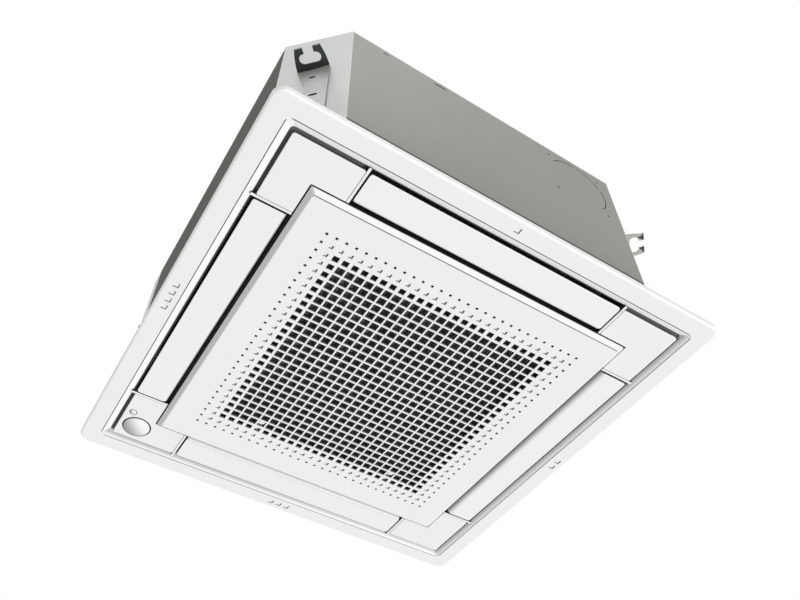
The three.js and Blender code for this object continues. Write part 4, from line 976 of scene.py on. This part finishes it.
def arc_slit(start, end, radius=50, width=1.5):
    """Slit around the knock-out between two angles in degrees."""
    way = bearing(np.radians(np.linspace(start, end, 30)))
    rim = np.concatenate([way * (radius + width / 2), (way * (radius - width / 2))[::-1]])
    return with_normals(rim + [DUCT_X, DUCT_Z])


def casing_walls():
    """Eight walls with bent edges. The front and rear walls are sheets of their own, with cuts and holes."""
    holes = [arc_slit(*ends) for ends in ((-38, 24), (28, 84), (88, 140))]
    holes += [circle(DUCT_X + x, DUCT_Z + z, 1.8, 16) for x in (-45, 45) for z in (-45, 45)]
    holes += [slot(-82, CASE_TOP - 10.5, 10, 1.4), slot(-170, CASE_TOP - 10.5, 4.5, 1.2)]
    outer, normals = case_rim()
    inner = outer - normals * SHEET
    low, high = CASE_LEVEL, CASE_TOP - SHEET
    points, faces = loft([lifted(outer, low), lifted(outer, high), lifted(inner, high), lifted(inner, low)],
                         closed=True)
    front, rear = 5, 29     # numbers of these walls' quads in each loop
    faces = [face for number, face in enumerate(faces) if number % len(outer) not in (front, rear)]
    flange = slab(rounded_rectangle(SHEET / 2 - CASE_HALF, CASE_START + 13.5, SHEET / 2, 14.5, 0.3, 2),
                  [(0, low), (0, high)])
    return merged((points, faces), flat_wall(holes), quarter_turn(flat_wall(pipe_holes()), 2), flange)


def add_casing():
    part = casing_walls()
    piece = dress("casing_wall", "casing_walls", part, CASING, curve=BEND)
    x, y, _, _ = centres(part)
    cut = np.abs(x) + np.abs(y) > CASE_HALF + CASE_START - 4
    hole = (np.abs(y) < CASE_HALF - 0.2) & (np.abs(y) > CASE_HALF - SHEET + 0.2) & (np.abs(x) < CASE_START - 5)
    # Painted shade on the walls of the holes and slits and on the left wall, and a painted sheen on the cut corners.
    paint(piece, (DEEP_SHADE, hole), (CASING_SHADE, x < 1 - CASE_HALF), (CHAMFER_SHEEN, cut))


def add_top_sheet():
    """Top sheet with its pressed round dish and four shallow embossed beads."""
    top, edge = CASE_TOP, 0.4
    spots = [(155 * x, 155 * y, 45 * x * y) for x in (-1, 1) for y in (-1, 1)]
    openings = [circle(0, 0, DISH_RADIUS - edge, 96)]
    openings += [slot(x, y, BEAD_HALF[0] - edge, BEAD_HALF[1] - edge, turn) for x, y, turn in spots]
    sheet = plate(case_rim(), [(0, top - SHEET), (0, top - edge), (edge, top)], openings)
    bowl = slab(circle(0, 0, DISH_RADIUS, 96), raised(
        [(7, -5.2), (5, -4.6), (4.15, -3.2), (4.15, -1.25), (0, -SHEET), (0, 0), (2, -0.15), (3.6, -0.6),
         (4.7, -1.4), (5.2, -2.4), (6, -3.4), (7.4, -4)], top))
    troughs = [slab(slot(x, y, *BEAD_HALF, turn), raised([(0, -SHEET), (0, 0), (1.2, -0.3), (2.6, -0.7)], top))
               for x, y, turn in spots]
    dress("top_plate", "top_sheet", merged(sheet, bowl, *troughs), CASING, curve=BEND)


# ------------------------------------------------------------------ hanger brackets


def lug_rim():
    """Lug seen from above: curved sides, and a long slot for the rod that opens outwards between two hooks."""
    end, tip, throat, aside = ROD + 14, 16.5, 6.5, 7.5
    bow = (BRACKET_PLANE + end) / 2
    side = [((1 - t) ** 2 * BRACKET_PLANE + 2 * t * (1 - t) * bow + t * t * end,
             BRACKET_HALF - (BRACKET_HALF - tip) * t * t) for t in np.linspace(0, 1, 9)]
    hook = [(end, throat), (ROD + throat, throat)]
    hook += [(ROD + throat * math.cos(a), aside + throat * math.sin(a)) for a in np.radians(np.linspace(0, 180, 15))]
    upper = hook[::-1] + side[::-1]
    return with_normals([(x, -y) for x, y in upper[::-1]] + upper)


def bracket_body():
    """Bracket in its own axes, with +X out of the casing's corner.

    The plate lies on the casing's cut corner, and below the lug one of its sides slopes in to a narrower tail.
    """
    low, thick, half, slim = LUG_LEVEL, BRACKET_SHEET, BRACKET_HALF, -8.4
    lug = plate(lug_rim(), [(0.25, low), (0, low + 0.25), (0, low + thick - 0.25), (0.25, low + thick)])
    tabs = [slab(rounded_rectangle(ROD + 13, y, 1, 5, 0.6, 4), [(0, low + 1.8), (0, low + 4.6), (0.35, low + 5)])
            for y in (-11.5, 11.5)]
    face = arc_corners([(-half, low), (slim, low - 42), (slim, low - 110), (half, low - 110), (half, low + thick),
                        (-half, low + thick)], [4, 12, 2, 2, 0.6, 0.6], 5)
    slits = [slot(0, low - 22.5, 3.8, 2.0), slot(4, low - 72, 5.4, 2.2)]
    out = BRACKET_PLANE
    wall = plate(face, [(0, out), (0, out + thick - 0.3), (0.3, out + thick)], slits)
    backs = [on_x(slab(slit, [(0, out + 0.05), (0, out + 0.25)])) for slit in slits]
    return merged(lug, *tabs, on_x(wall), *backs)


def add_brackets():
    part = bracket_body()
    points, faces = part
    x, y, z, _ = centres(part)
    on_plate = x < BRACKET_PLANE + 1.9
    slit = on_plate & (x > BRACKET_PLANE + 0.03) & (np.abs(y - 2) < 9) & (np.abs(z - LUG_LEVEL + 57.5) < 42.5)
    edge = on_plate & (y > BRACKET_HALF - 0.1)
    for corner, degrees, side in zip(CORNERS, (225, 315, 45, 135), (1, -1, 1, -1)):
        c, s = math.cos(math.radians(degrees)), math.sin(math.radians(degrees))
        placed = points * [1, side, 1] @ np.array([[c, s, 0], [-s, c, 0], [0, 0, 1]])
        turned = faces if side > 0 else [face[::-1] for face in faces]
        piece = dress(f"hanger_{corner}", f"{corner}_bracket", (placed, turned), BRACKET,
                      curve=BEND)
        reach = BRACKET_PLANE + 2.1 if corner == "front_left" else ROD + 9.5
        under = (x > reach) & (z < LUG_LEVEL + 1.9)
        # Painted shade under the lug, along the plate's side edge and in its slits.
        paint(piece, (LUG_SHADE, under | edge | slit))


# ------------------------------------------------------------------ air path


def turned_piece(name, profile, node, body, material, steps=96, x=0.0, y=0.0):
    """One round piece in place of a CAD node."""
    dress(node, name, turned_profile(profile, steps, x, y), material, body, BEND)


def flare(radius, reach, low, rise, count=14):
    """Quarter ellipse that starts at its narrow upper end and runs down and outwards."""
    return [(radius + reach * (1 - math.cos(a)), low + rise * (1 - math.sin(a)))
            for a in np.radians(np.linspace(0, 90, count))]


def add_bell_mouth():
    """Quarter-ellipse flare into a straight throat, with a rolled lip at its top and a flat flange below."""
    inside = flare(THROAT, BELL_FLARE, BELL_LOW, 50)
    outside = flare(THROAT + 2.5, BELL_FLARE - 2.5, BELL_LOW + 2.5, 47.5)[::-1]
    lip = [(THROAT + 2.5, BELL_TOP - 0.8), (THROAT + 1.8, BELL_TOP), (THROAT + 0.7, BELL_TOP), (THROAT, BELL_TOP - 0.8)]
    profile = [(BELL_RIM, BELL_LOW + 0.4), (BELL_RIM, BELL_LOW + 2.5)] + outside + lip + inside
    profile += [(BELL_RIM - 0.4, BELL_LOW), profile[0]]
    turned_piece("bell_mouth_moulding", profile, "bell_mouth", "unit", GREY, 128)


def fan_blade(k):
    """Blade with the section of an aerofoil, swept back along a spiral, between the shroud and the back disc.

    The angle falls evenly as the radius grows, and the half thickness is 0.5 + 0.9 sin(pi share^0.6) mm. The
    lower edge follows the shroud's quarter ellipse.
    """
    share = np.linspace(0, 1, 15)
    inner, outer = 88.5, FAN_RADIUS - 0.6
    radius = inner + (outer - inner) * share
    reach = np.clip((radius - FAN_INLET - 1.2) / (FAN_RADIUS - FAN_INLET - 1.2), 0, 1)
    low = FAN_LOW + 16 - 1.2 * (1 - reach) + 21 * np.sqrt(1 - (1 - reach) ** 2)
    half = (0.5 + 0.9 * np.sin(np.pi * share ** 0.6)) / radius
    loops = []
    for rise in np.linspace(0, 1, 6):
        angle = math.tau * k / BLADES - math.radians(50) * share + math.radians(2.5) * rise
        z = low + (FAN_BACK - 1.2 - low) * rise
        front, back = (np.column_stack([bearing(angle + sign * half) * radius[:, None], z]) for sign in (1, -1))
        loops.append(np.concatenate([back, front[::-1]]))
    return loft(loops)


def fan_rib(k):
    """Stiffening rib below the hub's bowl."""
    rim = turned_rim(rounded_rectangle(41, 0, 22, 0.9, 0.6, 3), math.tau * (k + 0.5) / BLADES)
    return slab(rim, [(0.4, HUB - 5.6), (0, HUB - 5.2), (0, HUB - 2.4)])


def add_fan():
    """Turbo fan in one moulding: shroud, blades, and the back disc with its bowl around the motor."""
    def swell(radius, rise):
        """Quarter ellipse of the shroud, from its narrow lower end up and outwards."""
        return [(radius + (FAN_RADIUS - radius) * (1 - math.cos(a)), FAN_LOW + 16 + rise * math.sin(a))
                for a in np.radians(np.linspace(0, 90, 13))]
    wall = FAN_INLET + 2.3
    shroud = [(wall, FAN_LOW)] + swell(wall, 19.6) + swell(FAN_INLET, 22)[::-1] + [(FAN_INLET, FAN_LOW)]
    bowl = raised([(6.3, -8), (19.2, -8), (20, -7.2), (20.6, -3.4), (22, -2.5), (60, -2.5), (64, -2), (68, 0),
                   (71.5, 3.5), (75, 9)], HUB)
    bowl += raised([(78, -6), (80, -3.4), (83, -2.5), (FAN_RADIUS - 0.5, -2.5), (FAN_RADIUS, -1.8),
                    (FAN_RADIUS, -0.5), (FAN_RADIUS - 0.5, 0), (79, 0), (75.6, -3)], FAN_BACK)
    bowl += raised([(72, 10), (69, 5), (66, 2), (62, 0.4), (58, 0), (6.3, 0)], HUB)
    rings = [turned_profile(profile + profile[:1], 128) for profile in (shroud, bowl)]
    part = merged(*rings, *[fan_blade(k) for k in range(BLADES)], *[fan_rib(k) for k in range(BLADES)])
    dress("fan_wheel", "fan_moulding", part, FAN_GREY, "fan", BEND)


def add_motor():
    """Motor can with rounded edges and two pressed rings, its shaft, and three waisted rubber mounts."""
    low = MOTOR_TOP - 49.8
    can = [(0, 0), (21, 0), (22.4, 0.6), (25, 3), (52, 4.4), (57, 6.4), (60.4, 9.6), (62, 14), (62, 24), (61.2, 25),
           (61.2, 27), (62, 28), (62, 38), (61.2, 39), (61.2, 41), (62, 42), (62, 46.4), (69.4, 47), (70, 47.6),
           (70, 49.2), (69.4, 49.8), (0, 49.8)]
    turned_piece("motor_can", raised(can, low), "fan_motor", "unit", STEEL)
    shaft = [(0, HUB - 18.3), (5.2, HUB - 18.3), (6, HUB - 17.5), (6, low - 0.3), (0, low - 0.3)]
    turned_piece("fan_shaft", shaft, "motor_shaft", "fan", STEEL, 48)
    mount = raised([(0, 0), (7.4, 0), (8, 0.6), (8, 1.8), (6, 2.5), (5.6, 3), (6, 3.5), (8, 4.2), (8, 5.4), (7.4, 6),
                    (0, 6)], MOTOR_TOP)
    for k in range(3):
        x, y = 58 * math.cos(math.tau * k / 3), 58 * math.sin(math.tau * k / 3)
        turned_piece(f"rubber_mount_{k + 1}", mount, f"motor_mount_{k + 1}", "unit", RUBBER, 40, x, y)


def hexagon(across):
    """Hexagon of the given radius to its corners, with rounded corners."""
    return arc_corners(bearing(np.arange(6) * math.tau / 6) * across, 0.8, 3)


def add_nut():
    """Hexagon nut with chamfered ends and a bore for the shaft."""
    high = HUB - 8.3
    part = plate(hexagon(12), [(1, high - 6), (0, high - 5.2), (0, high - 0.8), (1, high)], [circle(0, 0, 6.3, 32)])
    dress("fan_nut", "shaft_nut", part, STEEL, "fan")


# ------------------------------------------------------------------ pipes and drain


def add_pipe(name, node, x, radius, nut):
    """Pipe from its header out through the rear wall, with a flare nut and an open end."""
    z, start, end = PIPE_Z, COIL_HALF - 21, PIPE_END
    bore, header = radius - 0.9, radius * 1.4
    tube = turned_profile([(0, start), (radius, start), (radius, end - 0.3), (radius - 0.3, end), (bore, end),
                           (bore, end - 12), (0, end - 12)])
    flare_nut = slab(hexagon(nut), raised([(1.2, -16), (0, -15), (0, -7), (0.6, -6.2), (1.8, -4.6), (2.2, -3)], end))
    post = turned_profile([(0, 95), (header - 1, 95), (header, 96), (header, 294.8), (header - 1, 295.8), (0, 295.8)],
                          x=x, y=start)
    dress(node, name, merged(along_y(tube, x, z), along_y(flare_nut, x, z), post), COPPER,
          curve=BEND)


def add_socket():
    """Drain socket: a tube with a collar and an open end, fed by an elbow of hose from the pump."""
    x, z, end, wall = DRAIN_X, DRAIN_Z, PIPE_END, CASE_HALF + 1
    start, riser = CASE_HALF - 13.2, COIL_HALF - 51 + 25 + 0.3 + 9.5
    tube = turned_profile([(0, start), (12.4, start), (13, start + 0.6), (13, end - 1), (12, end), (11, end),
                           (11, wall), (0, wall)], 64)
    hose = turned_profile([(0, riser), (9.5, riser), (9.5, start + 1), (0, start + 1)])
    post = turned_profile([(0, 135), (9.5, 135), (9.5, z + 8), (8, z + 9.5), (0, z + 9.5)], x=x, y=riser)
    dress("drain_socket", "drain_outlet", merged(along_y(tube, x, z), along_y(hose, x, z), post), GREY,
          curve=BEND)


def add_pipe_plate():
    """Plate around the pipes on the rear wall, with rounded corners."""
    rim = rounded_rectangle(-DRAIN_X, CASE_TOP - 79, 46.0, 43.0, 4, 6)
    points, faces = plate(rim, [(0, CASE_HALF), (0, CASE_HALF + 0.9), (0.3, CASE_HALF + SHEET)], pipe_holes())
    part = np.column_stack([-points[:, 0], points[:, 2], points[:, 1]]), faces
    dress("pipe_plate", "pipe_cover_plate", part, CASING)


# ------------------------------------------------------------------ stage


def add_floor():
    """Pale floor far below the ceiling. The light from below, that of a room, passes through it to the object."""
    part = slab(rounded_rectangle(0, 0, 20000, 20000, 400, 6), [(0, -2420), (10, -2400)])
    floor = new_object("floor", new_mesh("floor", part))
    set_finish(floor, FLOOR)
    floor.visible_shadow = floor.visible_diffuse = floor.visible_glossy = floor.visible_transmission = False


def turned_to(back, upright, roll=0.0):
    """Turn whose third axis is back, and whose first is at right angles to upright before the roll."""
    back = np.asarray(back, dtype=float) / np.linalg.norm(back)
    right = np.cross(upright, back)
    right /= np.linalg.norm(right)
    up = np.cross(back, right)
    c, s = math.cos(roll), math.sin(roll)
    return Matrix(np.column_stack([c * right + s * up, c * up - s * right, back]).tolist()).to_4x4()


def add_camera():
    """Camera of the photograph, from its fit: below the front left corner, looking up. Metres and degrees."""
    azimuth, elevation, roll = (math.radians(a) for a in (-31.5344, -49.7125, 0.3194))
    back = (math.sin(azimuth) * math.cos(elevation), -math.cos(azimuth) * math.cos(elevation), math.sin(elevation))
    data = bpy.data.cameras.new("camera")
    data.sensor_width = 36.0
    data.lens = 36.93
    data.shift_x = 0.01752
    data.shift_y = 0.01739
    data.clip_end = 50.0
    camera = new_object("camera", data)
    place = turned_to(back, (0, 0, 1), roll)
    place.translation = (-0.40148, -0.66816, -0.76279)
    camera.matrix_world = place
    bpy.context.scene.camera = camera


def add_sun(name, towards, strength, angle):
    """Soft lamp whose light comes from the direction towards. The angle is in degrees."""
    data = bpy.data.lights.new(name, "SUN")
    data.energy = strength
    data.angle = math.radians(angle)
    new_object(name, data).matrix_world = turned_to(towards, (0.1, 0.2, 1.0))


def add_world():
    """White to the camera, to gloss and to glass; a plain grey light to everything else."""
    g = Graph(bpy.data.worlds.new("studio"))
    rays = g.node("ShaderNodeLightPath").outputs
    camera, gloss, glass = (Signal(g, rays[f"Is {kind} Ray"]) for kind in ("Camera", "Glossy", "Transmission"))
    plain, shown = (g.node("ShaderNodeBackground", None, {"Color": grey(1), "Strength": strength}).outputs[0]
                    for strength in (0.42, 1.0))
    mix = g.node("ShaderNodeMixShader", None, {0: camera.most(gloss).most(glass), 1: plain, 2: shown})
    g.node("ShaderNodeOutputWorld", None, {0: mix.outputs[0]})
    bpy.context.scene.world = g.owner


add_frame()
add_flaps()
add_covers()
add_sensor()
add_grille()
add_casing()
add_top_sheet()
add_brackets()
add_bell_mouth()
add_fan()
add_motor()
add_nut()
add_pipe("liquid_tube", "liquid_pipe", LIQUID_X, 3.2, 7.0)
add_pipe("gas_tube", "gas_pipe", GAS_X, 6.35, 10.8)
add_socket()
add_pipe_plate()
add_floor()
add_camera()
add_world()
add_sun("key from the right", (0.50, -0.22, -0.84), 1.98, 16)
add_sun("fill from the front left", (-0.42, -0.86, -0.10), 0.8, 30)
add_sun("soft light from above", (0.05, 0.1, 1.0), 1.4, 40)
bpy.context.scene.view_settings.view_transform = "Standard"
